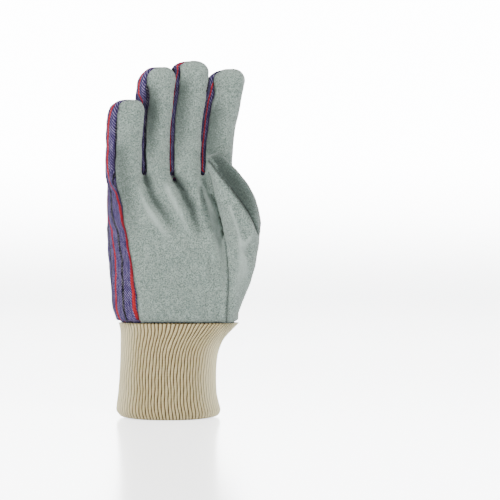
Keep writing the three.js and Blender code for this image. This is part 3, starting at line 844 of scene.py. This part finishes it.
# The knitted cuff: one closed surface from the top, down outside, round the hem and up inside
CUFF_LEVELS = (60, 7, 16)
RIB_SHARES = (1, 0.75, 0.6)
RIB_STEPS = 8
RIB_ROUNDNESS = 0.7
RING_SWELL = 0.4
HEM_LIFT_REACH = 9
AROUND = np.linspace(0, 2 * math.pi, 2881)


def cuff_levels():
    """Height, depth into the wall and share of the ribs' height at every level."""
    outside, hem, inside = CUFF_LEVELS
    edge = CUFF_WALL / 2
    bend = np.linspace(0, math.pi, hem + 2)[1:-1]
    down, up = np.linspace(CUFF_HEIGHT, edge, outside), np.linspace(edge, CUFF_HEIGHT, inside)
    height = np.concatenate([down, edge - edge * np.sin(bend), up])
    sunk = np.concatenate([np.zeros(outside), edge - edge * np.cos(bend), np.full(inside, CUFF_WALL)])
    return height, sunk, np.repeat(RIB_SHARES, CUFF_LEVELS)


def rib_wander(order, z):
    """How far the ribs stray sideways, in ribs."""
    whole = 0.12 * math.sin(0.9 * z / 7) + 0.08 * math.sin(z / 3.1 + 1)
    slow = 0.10 * np.sin(order * 0.083 + z / 9) + 0.07 * np.sin(order * 0.031 - z / 5)
    return whole + slow + 0.05 * np.sin(order * 0.41 + z / 1.7)


def knit_ring(z, sunk, rib):
    """Places round the ribbed tube at one level."""
    order = np.arange(RIB_COUNT * RIB_STEPS)
    up = z / CUFF_HEIGHT
    left, right = (float(column(CUFF_ROWS, name, up)) * CUFF_WIDTH for name in ("left", "right"))
    deep = float(column(CUFF_ROWS, "deep", up)) * CUFF_DEPTH
    u, v = oval(AROUND, CUFF_SQUARENESS)
    x, y = (left + right) / 2 + u * (right - left) / 2, v * deep / 2
    length = np.concatenate([[0], np.cumsum(np.hypot(np.diff(x), np.diff(y)))])
    front = np.interp(1.5 * math.pi, AROUND, length)
    fan = RIB_FAN * math.exp((z - CUFF_HEIGHT) / RIB_FAN_REACH)
    fanned = fan * np.sin(4 * math.pi * order / len(order))
    steps = (order / RIB_STEPS + rib_wander(order, z)) / RIB_COUNT * length[-1] + front + fanned
    steps = steps % length[-1]
    px, py = np.interp(steps, length, x), np.interp(steps, length, y)
    ahead = (steps + 0.2) % length[-1]
    tx, ty = np.interp(ahead, length, x) - px, np.interp(ahead, length, y) - py
    size = np.maximum(np.hypot(tx, ty), 1e-6)
    wave = np.abs(np.cos(math.pi * order / RIB_STEPS)) ** RIB_ROUNDNESS
    swell = 0.5 * np.sin(order * 0.021 + 1 + z / 30) + 0.3 * np.sin(order * 0.05 - z / 17)
    outwards = 1 if sunk < CUFF_WALL / 2 else -1
    offset = RIB_HEIGHT * rib * (wave - 1) * outwards - sunk + RING_SWELL * swell
    lift = HEM_LIFT * np.abs(px / (0.53 * CUFF_WIDTH)) ** 3 * math.exp(-z / HEM_LIFT_REACH)
    return np.stack([px + ty / size * offset, py - tx / size * offset, z + lift], 1)


def map_knit(tube, turn, level):
    """Counts the ribs across and the millimetres along the knit."""
    corner = point_of_corner(tube)
    across = (turn / RIB_STEPS)[corner].reshape(-1, 4)
    over_the_end = (across.max(1) - across.min(1) > RIB_COUNT / 2)[:, None]
    across = np.where(over_the_end & (across < RIB_COUNT / 2), across + RIB_COUNT, across)
    add_map(tube, "knit", across.ravel(), level[corner] * (CUFF_HEIGHT / CUFF_LEVELS[0]))


def cuff_tube():
    sides = RIB_COUNT * RIB_STEPS
    bpy.ops.object.select_all(action="DESELECT")
    bpy.ops.mesh.primitive_circle_add(vertices=sides, radius=1, fill_type="NOTHING")
    tube = bpy.context.active_object
    tube.name = "rib_knit_cuff"
    bpy.ops.object.mode_set(mode="EDIT")
    bpy.ops.mesh.select_mode(type="VERT")
    bpy.ops.mesh.select_all(action="SELECT")
    for _ in range(sum(CUFF_LEVELS) - 1):
        bpy.ops.mesh.extrude_region_move(TRANSFORM_OT_translate={"value": (0, 0, 1)})
    bpy.ops.object.mode_set(mode="OBJECT")
    place = read_points(tube) * MM
    level = np.round(place[:, 2]).astype(int)
    angle = np.arctan2(place[:, 1], place[:, 0])
    turn = np.round(angle / (2 * math.pi) * sides).astype(int) % sides
    rings = np.array([knit_ring(*row) for row in zip(*cuff_levels())])
    write_points(tube, rings[level, turn])
    only(tube)
    bpy.ops.object.mode_set(mode="EDIT")
    bpy.ops.mesh.select_all(action="SELECT")
    bpy.ops.mesh.normals_make_consistent(inside=False)
    bpy.ops.object.mode_set(mode="OBJECT")
    map_knit(tube, turn, level)
    only(tube)
    bpy.ops.object.shade_smooth()
    return tube


# Camera, light and stage, in metres
CAMERA_PLACE = (0.0613, -1.2, 0.1256)
CAMERA_LENS = 114.9
CAMERA_FILM = 36
LIGHT_AIM = (0.02, 0, 0.13)
LIGHTS = [
    dict(name="left_box", place=(-1.4, -0.6, 0.5), side=0.45, power=20, colour=(1.0, 0.99, 0.97)),
    dict(name="right_box", place=(0.5, -1.05, 1.3), side=0.35, power=34, colour=(1.0, 1.0, 0.98)),
]
WORLD_COLOUR = (0.97, 0.985, 1.0, 1)
WORLD_FILL = 0.07
WORLD_SEEN = 9.0
FLOOR_WIDTH = 8.0
FLOOR_LENGTH = 6.0
FLOOR_CUTS = 63
SWEEP_START = 0.9
SWEEP_RADIUS = 0.9
FLOOR_COLOUR = (0.8, 0.81, 0.83, 1)
GLOW_COLOUR = (0.98, 0.99, 1, 1)
FLOOR_GLOW = 2.3
WALL_GLOW = 14.0
GLOW_HEIGHT = 0.3
GLOW_HELD_BACK = 0.99


def front_camera():
    data = bpy.data.cameras.new("camera")
    data.lens = CAMERA_LENS
    data.sensor_width = CAMERA_FILM
    camera = bpy.data.objects.new("camera", data)
    bpy.context.collection.objects.link(camera)
    camera.location = CAMERA_PLACE
    camera.rotation_euler = (math.radians(90), 0, 0)
    bpy.context.scene.camera = camera


def box_light(name, place, side, power, colour):
    data = bpy.data.lights.new(name, "AREA")
    data.shape = "SQUARE"
    data.size = side
    data.energy = power
    data.color = colour
    light = bpy.data.objects.new(name, data)
    bpy.context.collection.objects.link(light)
    light.location = place
    way = np.array(LIGHT_AIM) - np.array(place)
    tilt = math.atan2(math.hypot(way[0], way[1]), -way[2])
    light.rotation_euler = (tilt, 0, math.atan2(way[1], way[0]) - math.pi / 2)


def studio_world():
    """White behind the glove, and only a dim light on it."""
    world = bpy.data.worlds.new("studio")
    bpy.context.scene.world = world
    world.use_nodes = True
    tree = world.node_tree
    surround = tree.nodes["Background"]
    surround.inputs["Color"].default_value = WORLD_COLOUR
    seen = add(tree, "LightPath").outputs["Is Camera Ray"]
    strength = maths(tree, "ADD", WORLD_FILL, maths(tree, "MULTIPLY", seen, WORLD_SEEN))
    tree.links.new(strength, surround.inputs["Strength"])


def studio_floor():
    """A floor that sweeps up into the wall behind."""
    bpy.ops.object.select_all(action="DESELECT")
    bpy.ops.mesh.primitive_plane_add(size=1, location=(0, 0, 0))
    floor = bpy.context.active_object
    floor.name = "studio_floor"
    bpy.ops.object.mode_set(mode="EDIT")
    bpy.ops.mesh.select_all(action="SELECT")
    bpy.ops.mesh.subdivide(number_cuts=FLOOR_CUTS)
    bpy.ops.object.mode_set(mode="OBJECT")
    place = read_points(floor) * MM
    run = place[:, 1] * FLOOR_LENGTH
    bend = np.clip((run - SWEEP_START) / SWEEP_RADIUS, 0, math.pi / 2)
    rise = np.maximum(0, run - SWEEP_START - SWEEP_RADIUS * math.pi / 2)
    points = np.stack([
        place[:, 0] * FLOOR_WIDTH,
        np.minimum(run, SWEEP_START) + SWEEP_RADIUS * np.sin(bend),
        SWEEP_RADIUS * (1 - np.cos(bend)) + rise,
    ], 1)
    write_points(floor, points / MM)
    only(floor)
    bpy.ops.object.shade_smooth()
    return floor


# Finishes. Colours are 0 to 255, a little deeper than the real ones look in the picture.
PALE_LEATHER = dict(
    low=(131, 147, 139), high=(141, 156, 148), nap=(186, 200, 193), shade=(52, 62, 58))
# The same leather painted darker, as painted shade, for the thumb's outer panel that faces away from the
# light
SHADED_LEATHER = dict(
    low=(98, 113, 106), high=(108, 123, 116), nap=(146, 160, 153), shade=(40, 49, 45))
CLOTH = dict(
    blue=(50, 40, 84), pale_blue=(72, 60, 108), float=(34, 27, 60), fleck=(166, 154, 190),
    dark=(11, 10, 14), dark_fleck=(150, 146, 150),
    red=(162, 24, 32), pale_red=(196, 56, 56), red_end=(100, 34, 52), shade=(28, 22, 40))
# side is the cotton painted paler on the cuff's two sides, as painted light, and groove the painted shade
# between the ribs
KNIT = dict(
    cotton=(216, 198, 146), pale_cotton=(240, 224, 176), side=(255, 246, 206),
    stitch=(136, 116, 76), painted_groove_shade=(88, 68, 36), fleck=(150, 138, 112))
STITCH_INSET = 3.2
STITCH_LENGTH = 2.6
STRIPE_SPACING = 18.5
RED_EDGE = (1.3, 1.0)
DARK_EDGE = (7.7, 8.0)
YARN = 0.62
FLOAT = 2.2
KNIT_STITCH = 1.15


def srgb(red, green, blue):
    """A colour from 0 to 255 as the shader wants it."""
    values = [c / 255 for c in (red, green, blue)]
    linear = [c / 12.92 if c <= 0.04045 else ((c + 0.055) / 1.055) ** 2.4 for c in values]
    return (*linear, 1)


def add(tree, kind, inputs=None, **settings):
    """A node with its settings, its values and its links in one call."""
    node = tree.nodes.new("ShaderNode" + kind)
    for name, value in settings.items():
        setattr(node, name, value)
    for key, value in (inputs or {}).items():
        if isinstance(value, bpy.types.NodeSocket):
            tree.links.new(value, node.inputs[key])
        else:
            node.inputs[key].default_value = value
    return node


def maths(tree, operation, *values):
    return add(tree, "Math", dict(enumerate(values)), operation=operation).outputs[0]


def blend_colours(tree, share, first, second, way="MIX"):
    node = add(tree, "Mix", data_type="RGBA", blend_type=way)
    for socket, value in ((node.inputs["Factor"], share), (node.inputs[6], first), (node.inputs[7], second)):
        if isinstance(value, bpy.types.NodeSocket):
            tree.links.new(value, socket)
        else:
            socket.default_value = value
    return node.outputs[2]


def ramp(tree, value, low, high, to_low=0.0, to_high=1.0):
    """A soft step from one value to another."""
    return add(tree, "MapRange", {
        "Value": value, "From Min": low, "From Max": high, "To Min": to_low, "To Max": to_high,
    }, interpolation_type="SMOOTHSTEP").outputs["Result"]


def new_group(name, inputs, outputs):
    group = bpy.data.node_groups.new(name, "ShaderNodeTree")
    for label, kind, value in inputs:
        socket = group.interface.new_socket(label, in_out="INPUT", socket_type="NodeSocket" + kind)
        if value is not None:
            socket.default_value = value
    for label, kind in outputs:
        group.interface.new_socket(label, in_out="OUTPUT", socket_type="NodeSocket" + kind)
    given = group.nodes.new("NodeGroupInput")
    result = group.nodes.new("NodeGroupOutput")
    return group, given.outputs, result.inputs


def soft_mottle():
    """Uneven tone and fine nap over a soft surface, in millimetres."""
    group, given, result = new_group(
        "soft_mottle",
        [("Vector", "Vector", None), ("Patch", "Float", 14.0), ("Grain", "Float", 1.2)],
        [("Patches", "Float"), ("Grain", "Float"), ("Nap", "Float")])
    patch = maths(group, "DIVIDE", 1.0, given["Patch"])
    grain = maths(group, "DIVIDE", 1.0, given["Grain"])
    patches = add(group, "TexNoise", {
        "Vector": given["Vector"], "Scale": patch, "Detail": 3.0, "Roughness": 0.55})
    speckle = add(group, "TexNoise", {
        "Vector": given["Vector"], "Scale": grain, "Detail": 2.0, "Roughness": 0.6})
    fine = maths(group, "MULTIPLY", grain, 3.1)
    nap = add(group, "TexNoise", {"Vector": given["Vector"], "Scale": fine, "Detail": 2.0})
    group.links.new(patches.outputs[0], result["Patches"])
    group.links.new(speckle.outputs[0], result["Grain"])
    group.links.new(nap.outputs[0], result["Nap"])
    return group


def in_millimetres(tree):
    place = add(tree, "TexCoord").outputs["Object"]
    return add(tree, "Mapping", {"Vector": place, "Scale": (1000, 1000, 1000)}).outputs["Vector"]


def new_material(name, roughness):
    material = bpy.data.materials.new(name)
    material.use_nodes = True
    tree = material.node_tree
    tree.nodes.clear()
    surface = add(tree, "BsdfPrincipled", {"Roughness": roughness})
    add(tree, "OutputMaterial", {"Surface": surface.outputs[0]})
    return material, tree, surface


def mark_value(tree, name):
    return add(tree, "Attribute", attribute_name=name).outputs["Fac"]


mottle = soft_mottle()


def stitch_row(tree, place):
    """A row of small stitches down the back, a little inside the leather's edge."""
    beside = maths(tree, "SUBTRACT", mark_value(tree, "inset"), STITCH_INSET)
    beside = ramp(tree, maths(tree, "ABSOLUTE", beside), 0.55, 0.3)
    parts = add(tree, "SeparateXYZ", {0: place}).outputs
    along = maths(tree, "SINE", maths(tree, "MULTIPLY", parts["Z"], 2 * math.pi / STITCH_LENGTH))
    behind = ramp(tree, parts["Y"], 2.0, 4.0)
    above = ramp(tree, parts["Z"], SHELL_BOTTOM + 4, SHELL_BOTTOM + 5)
    row = maths(tree, "MULTIPLY", beside, ramp(tree, along, 0.0, 0.35))
    return maths(tree, "MULTIPLY", row, maths(tree, "MULTIPLY", behind, above))


def leather_finish(name, tone):
    """Split leather: pale grey-green nap, patchy, with dark specks, painted shade in its folds and seams and
    painted highlight on its ridges.
    """
    material, tree, surface = new_material(name, 0.9)
    surface.inputs["Sheen Weight"].default_value = 0.25
    surface.inputs["Sheen Roughness"].default_value = 0.5
    surface.inputs["Specular IOR Level"].default_value = 0.05
    place = in_millimetres(tree)
    marks = add(tree, "Group", {"Vector": place, "Patch": 11.0, "Grain": 0.85}, node_tree=mottle)
    low, high, nap, shade = (srgb(*tone[part]) for part in ("low", "high", "nap", "shade"))
    colour = blend_colours(tree, ramp(tree, marks.outputs["Patches"], 0.35, 0.65), low, high)
    grain = ramp(tree, marks.outputs["Grain"], 0.5, 0.66)
    colour = blend_colours(tree, maths(tree, "MULTIPLY", grain, 0.75), colour, nap)
    pits = ramp(tree, marks.outputs["Grain"], 0.5, 0.36)
    colour = blend_colours(tree, maths(tree, "MULTIPLY", pits, 0.48), colour, shade)
    # Painted shade in the folds and shade rows, and painted highlight on the ridges and negative shade rows
    painted_shade_mark = mark_value(tree, "fold")
    fold = ramp(tree, painted_shade_mark, -0.1, 1.0)
    colour = blend_colours(tree, maths(tree, "MULTIPLY", fold, 0.85), colour, shade)
    ridge = ramp(tree, painted_shade_mark, -0.02, -0.35)
    colour = blend_colours(tree, maths(tree, "MULTIPLY", ridge, 0.7), colour, nap)
    # Painted shade along the seams
    seam = mark_value(tree, "seam")
    colour = blend_colours(tree, maths(tree, "MULTIPLY", seam, 0.7), colour, shade)
    holes = stitch_row(tree, place)
    colour = blend_colours(tree, maths(tree, "MULTIPLY", holes, 0.75), colour, shade)
    tree.links.new(colour, surface.inputs["Base Color"])
    height = maths(tree, "ADD", marks.outputs["Grain"], maths(tree, "MULTIPLY", marks.outputs["Nap"], 0.5))
    height = maths(tree, "SUBTRACT", height, maths(tree, "MULTIPLY", holes, 0.6))
    bump = add(tree, "Bump", {"Height": height, "Strength": 0.9, "Distance": 0.0008})
    tree.links.new(bump.outputs[0], surface.inputs["Normal"])
    return material


def twill_weave():
    """A steep twill: every warp yarn floats up in turn. The vector is in millimetres."""
    group, given, result = new_group(
        "twill_weave",
        [("Vector", "Vector", None), ("Yarn", "Float", 0.55), ("Float", "Float", 2.1)],
        [("Height", "Float"), ("Crossing", "Float"), ("Shade", "Float")])
    parts = add(group, "SeparateXYZ", {0: given["Vector"]})
    across = maths(group, "DIVIDE", parts.outputs["X"], given["Yarn"])
    yarn = maths(group, "FLOOR", across)
    within = maths(group, "SUBTRACT", across, yarn)
    along = maths(group, "DIVIDE", parts.outputs["Y"], given["Float"])
    shifted = maths(group, "SUBTRACT", along, maths(group, "DIVIDE", across, 3.0))
    step = maths(group, "FLOOR", shifted)
    rise = maths(group, "SUBTRACT", shifted, step)
    ridge = ramp(group, maths(group, "SINE", maths(group, "MULTIPLY", within, math.pi)), 0, 1, 0.6, 1)
    float_up = maths(group, "SINE", maths(group, "MULTIPLY", rise, math.pi))
    height = maths(group, "MULTIPLY", ridge, maths(group, "POWER", float_up, 0.6))
    crossing = ramp(group, float_up, 0.62, 0.3)
    cell = add(group, "CombineXYZ", {0: yarn, 1: step})
    shade = add(group, "TexWhiteNoise", {"Vector": cell.outputs[0]}, noise_dimensions="2D")
    group.links.new(height, result["Height"])
    group.links.new(crossing, result["Crossing"])
    group.links.new(shade.outputs["Value"], result["Shade"])
    return group


def cloth_finish():
    """Blue-violet twill with narrow red stripes and flecked dark stripes between them."""
    material, tree, surface = new_material("striped_twill", 0.88)
    surface.inputs["Sheen Weight"].default_value = 0.1
    surface.inputs["Specular IOR Level"].default_value = 0.0
    stripes = add(tree, "UVMap", uv_map="stripes").outputs["UV"]
    yarns = add(tree, "UVMap", uv_map="yarns").outputs["UV"]
    weave = add(tree, "Group", {"Vector": yarns, "Yarn": YARN, "Float": FLOAT}, node_tree=twill_weave())
    phase = maths(tree, "DIVIDE", add(tree, "SeparateXYZ", {0: stripes}).outputs["X"], STRIPE_SPACING)
    off = maths(tree, "ABSOLUTE", maths(tree, "SUBTRACT", phase, maths(tree, "ROUND", phase)))
    off = maths(tree, "MULTIPLY", off, STRIPE_SPACING)
    yarn_tone = weave.outputs["Shade"]
    crossing = weave.outputs["Crossing"]
    cloth = {name: srgb(*colour) for name, colour in CLOTH.items()}
    ground = blend_colours(tree, yarn_tone, cloth["blue"], cloth["pale_blue"])
    floats = ramp(tree, weave.outputs["Height"], 0.6, 0.95)
    ground = blend_colours(tree, maths(tree, "MULTIPLY", floats, 0.6), ground, cloth["float"])
    flecks = maths(tree, "MULTIPLY", crossing, ramp(tree, yarn_tone, 0.2, 0.8, 0.15, 0.9))
    ground = blend_colours(tree, flecks, ground, cloth["fleck"])
    pale_ends = maths(tree, "MULTIPLY", crossing, ramp(tree, yarn_tone, 0.5, 0.7))
    dark = blend_colours(tree, pale_ends, cloth["dark"], cloth["dark_fleck"])
    red = blend_colours(tree, yarn_tone, cloth["red"], cloth["pale_red"])
    red = blend_colours(tree, maths(tree, "MULTIPLY", crossing, 0.6), red, cloth["red_end"])
    in_dark = maths(tree, "MULTIPLY", ramp(tree, off, *DARK_EDGE), 0.92)
    colour = blend_colours(tree, in_dark, ground, dark)
    colour = blend_colours(tree, ramp(tree, off, *RED_EDGE), colour, red)
    # Painted shade in the folds and along the seams
    fold = ramp(tree, mark_value(tree, "fold"), 0.0, 0.5)
    colour = blend_colours(tree, maths(tree, "MULTIPLY", fold, 0.6), colour, cloth["shade"])
    seam = mark_value(tree, "seam")
    colour = blend_colours(tree, maths(tree, "MULTIPLY", seam, 0.6), colour, cloth["shade"])
    tree.links.new(colour, surface.inputs["Base Color"])
    bump = add(tree, "Bump", {"Height": weave.outputs["Height"], "Strength": 0.7, "Distance": 0.0003})
    tree.links.new(bump.outputs[0], surface.inputs["Normal"])
    return material


def knit_finish():
    """Natural cotton rib, a row of stitches up every rib, painted shade in its grooves and painted light on
    the cuff's two sides.
    """
    material, tree, surface = new_material("natural_rib_knit", 0.92)
    surface.inputs["Sheen Weight"].default_value = 0.3
    surface.inputs["Specular IOR Level"].default_value = 0.05
    ribs = add(tree, "UVMap", uv_map="knit").outputs["UV"]
    across, along = add(tree, "SeparateXYZ", {0: ribs}).outputs[:2]
    off = maths(tree, "ABSOLUTE", maths(tree, "SUBTRACT", across, maths(tree, "ROUND", across)))
    slant = maths(tree, "MULTIPLY", off, 1.6)
    slanted = maths(tree, "ADD", maths(tree, "DIVIDE", along, KNIT_STITCH), slant)
    stitch = maths(tree, "SINE", maths(tree, "MULTIPLY", slanted, 2 * math.pi))
    # Painted light: the cuff's two sides take paler cotton, weaker grooves and fainter stitches
    facing = maths(tree, "COSINE", maths(tree, "MULTIPLY", across, 4 * math.pi / RIB_COUNT))
    # Painted shade in the grooves between the ribs, weaker on the cuff's sides
    painted_groove_shade = maths(tree, "MULTIPLY", ramp(tree, off, 0.2, 0.44), ramp(tree, facing, -0.9, 0.9, 0.5, 1.0))
    beads = maths(
        tree, "MULTIPLY", ramp(tree, stitch, 0.1, -0.8, 0, 0.75), ramp(tree, facing, -1, 0.5, 0.4, 1))
    place = in_millimetres(tree)
    marks = add(tree, "Group", {"Vector": place, "Patch": 9.0, "Grain": 0.9}, node_tree=mottle)
    flecks = ramp(tree, marks.outputs["Grain"], 0.6, 0.75, 0, 0.4)
    knit = {name: srgb(*colour) for name, colour in KNIT.items()}
    colour = blend_colours(tree, marks.outputs["Patches"], knit["cotton"], knit["pale_cotton"])
    colour = blend_colours(tree, ramp(tree, facing, 0.4, -0.9, 0, 0.9), colour, knit["side"])
    colour = blend_colours(tree, beads, colour, knit["stitch"])
    colour = blend_colours(tree, painted_groove_shade, colour, knit["painted_groove_shade"])
    colour = blend_colours(tree, flecks, colour, knit["fleck"])
    tree.links.new(colour, surface.inputs["Base Color"])
    height = maths(tree, "ADD", maths(tree, "MULTIPLY", stitch, 0.5), marks.outputs["Nap"])
    bump = add(tree, "Bump", {"Height": height, "Strength": 0.6, "Distance": 0.0003})
    tree.links.new(bump.outputs[0], surface.inputs["Normal"])
    return material


def floor_finish():
    """A pale floor that turns into a white wall, and lights the glove only a little."""
    material, tree, surface = new_material("pale_studio", 0.2)
    surface.inputs["Base Color"].default_value = FLOOR_COLOUR
    surface.inputs["Emission Color"].default_value = GLOW_COLOUR
    place = add(tree, "TexCoord").outputs["Object"]
    height = add(tree, "SeparateXYZ", {0: place}).outputs["Z"]
    glow = ramp(tree, height, 0.0, GLOW_HEIGHT, FLOOR_GLOW, WALL_GLOW)
    held_back = maths(tree, "MULTIPLY", add(tree, "LightPath").outputs["Is Diffuse Ray"], GLOW_HELD_BACK)
    strength = maths(tree, "MULTIPLY", glow, maths(tree, "SUBTRACT", 1.0, held_back))
    tree.links.new(strength, surface.inputs["Emission Strength"])
    return material


# The pieces
skin = hand_skin()
thumb = split_off(skin, thumb_field, "thumb")
leather = split_off(skin, leather_field, "split_leather_palm")
cloth = skin
cloth.name = "striped_cloth_back"
thumb_back = split_off(thumb, outer_thumb_field, "thumb_outer_panel")
thumb_pad = thumb
thumb_pad.name = "thumb_inner_panel"
cuff = cuff_tube()

lay_cloth(cloth)
# Each panel with how deep and how wide its seam is, and its wall
panels = [
    (leather, 1.0, 1.0, LEATHER_WALL),
    (cloth, 1.3, 1.3, FABRIC_WALL),
    (thumb_pad, 1.0, 1.0, LEATHER_WALL),
    (thumb_back, 1.2, 1.0, LEATHER_WALL),
]
for panel, seam_depth, seam_reach, wall in panels:
    mark_painted_shade(panel)
    sew_edge(panel, seam_depth, seam_reach)
    give_wall(panel, wall)

leather.data.materials.append(leather_finish("grey_green_leather", PALE_LEATHER))
thumb_pad.data.materials.append(leather.data.materials[0])
# The thumb's outer panel takes the leather painted darker, as painted shade
thumb_back.data.materials.append(leather_finish("thumb_outer_leather_painted_shade", SHADED_LEATHER))
cloth.data.materials.append(cloth_finish())
cuff.data.materials.append(knit_finish())

front_camera()
for light in LIGHTS:
    box_light(**light)
studio_floor().data.materials.append(floor_finish())
studio_world()

stands_for = [
    (leather, "leather_palm", "split_leather"),
    (cloth, "fabric_back", "striped_cloth"),
    (thumb_pad, "thumb_pad_panel", "split_leather"),
    (thumb_back, "thumb_back_panel", "split_leather"),
    (cuff, "knit_cuff", "rib_knit"),
]
for piece, node, slot in stands_for:
    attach(piece, "root")
    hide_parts(node)
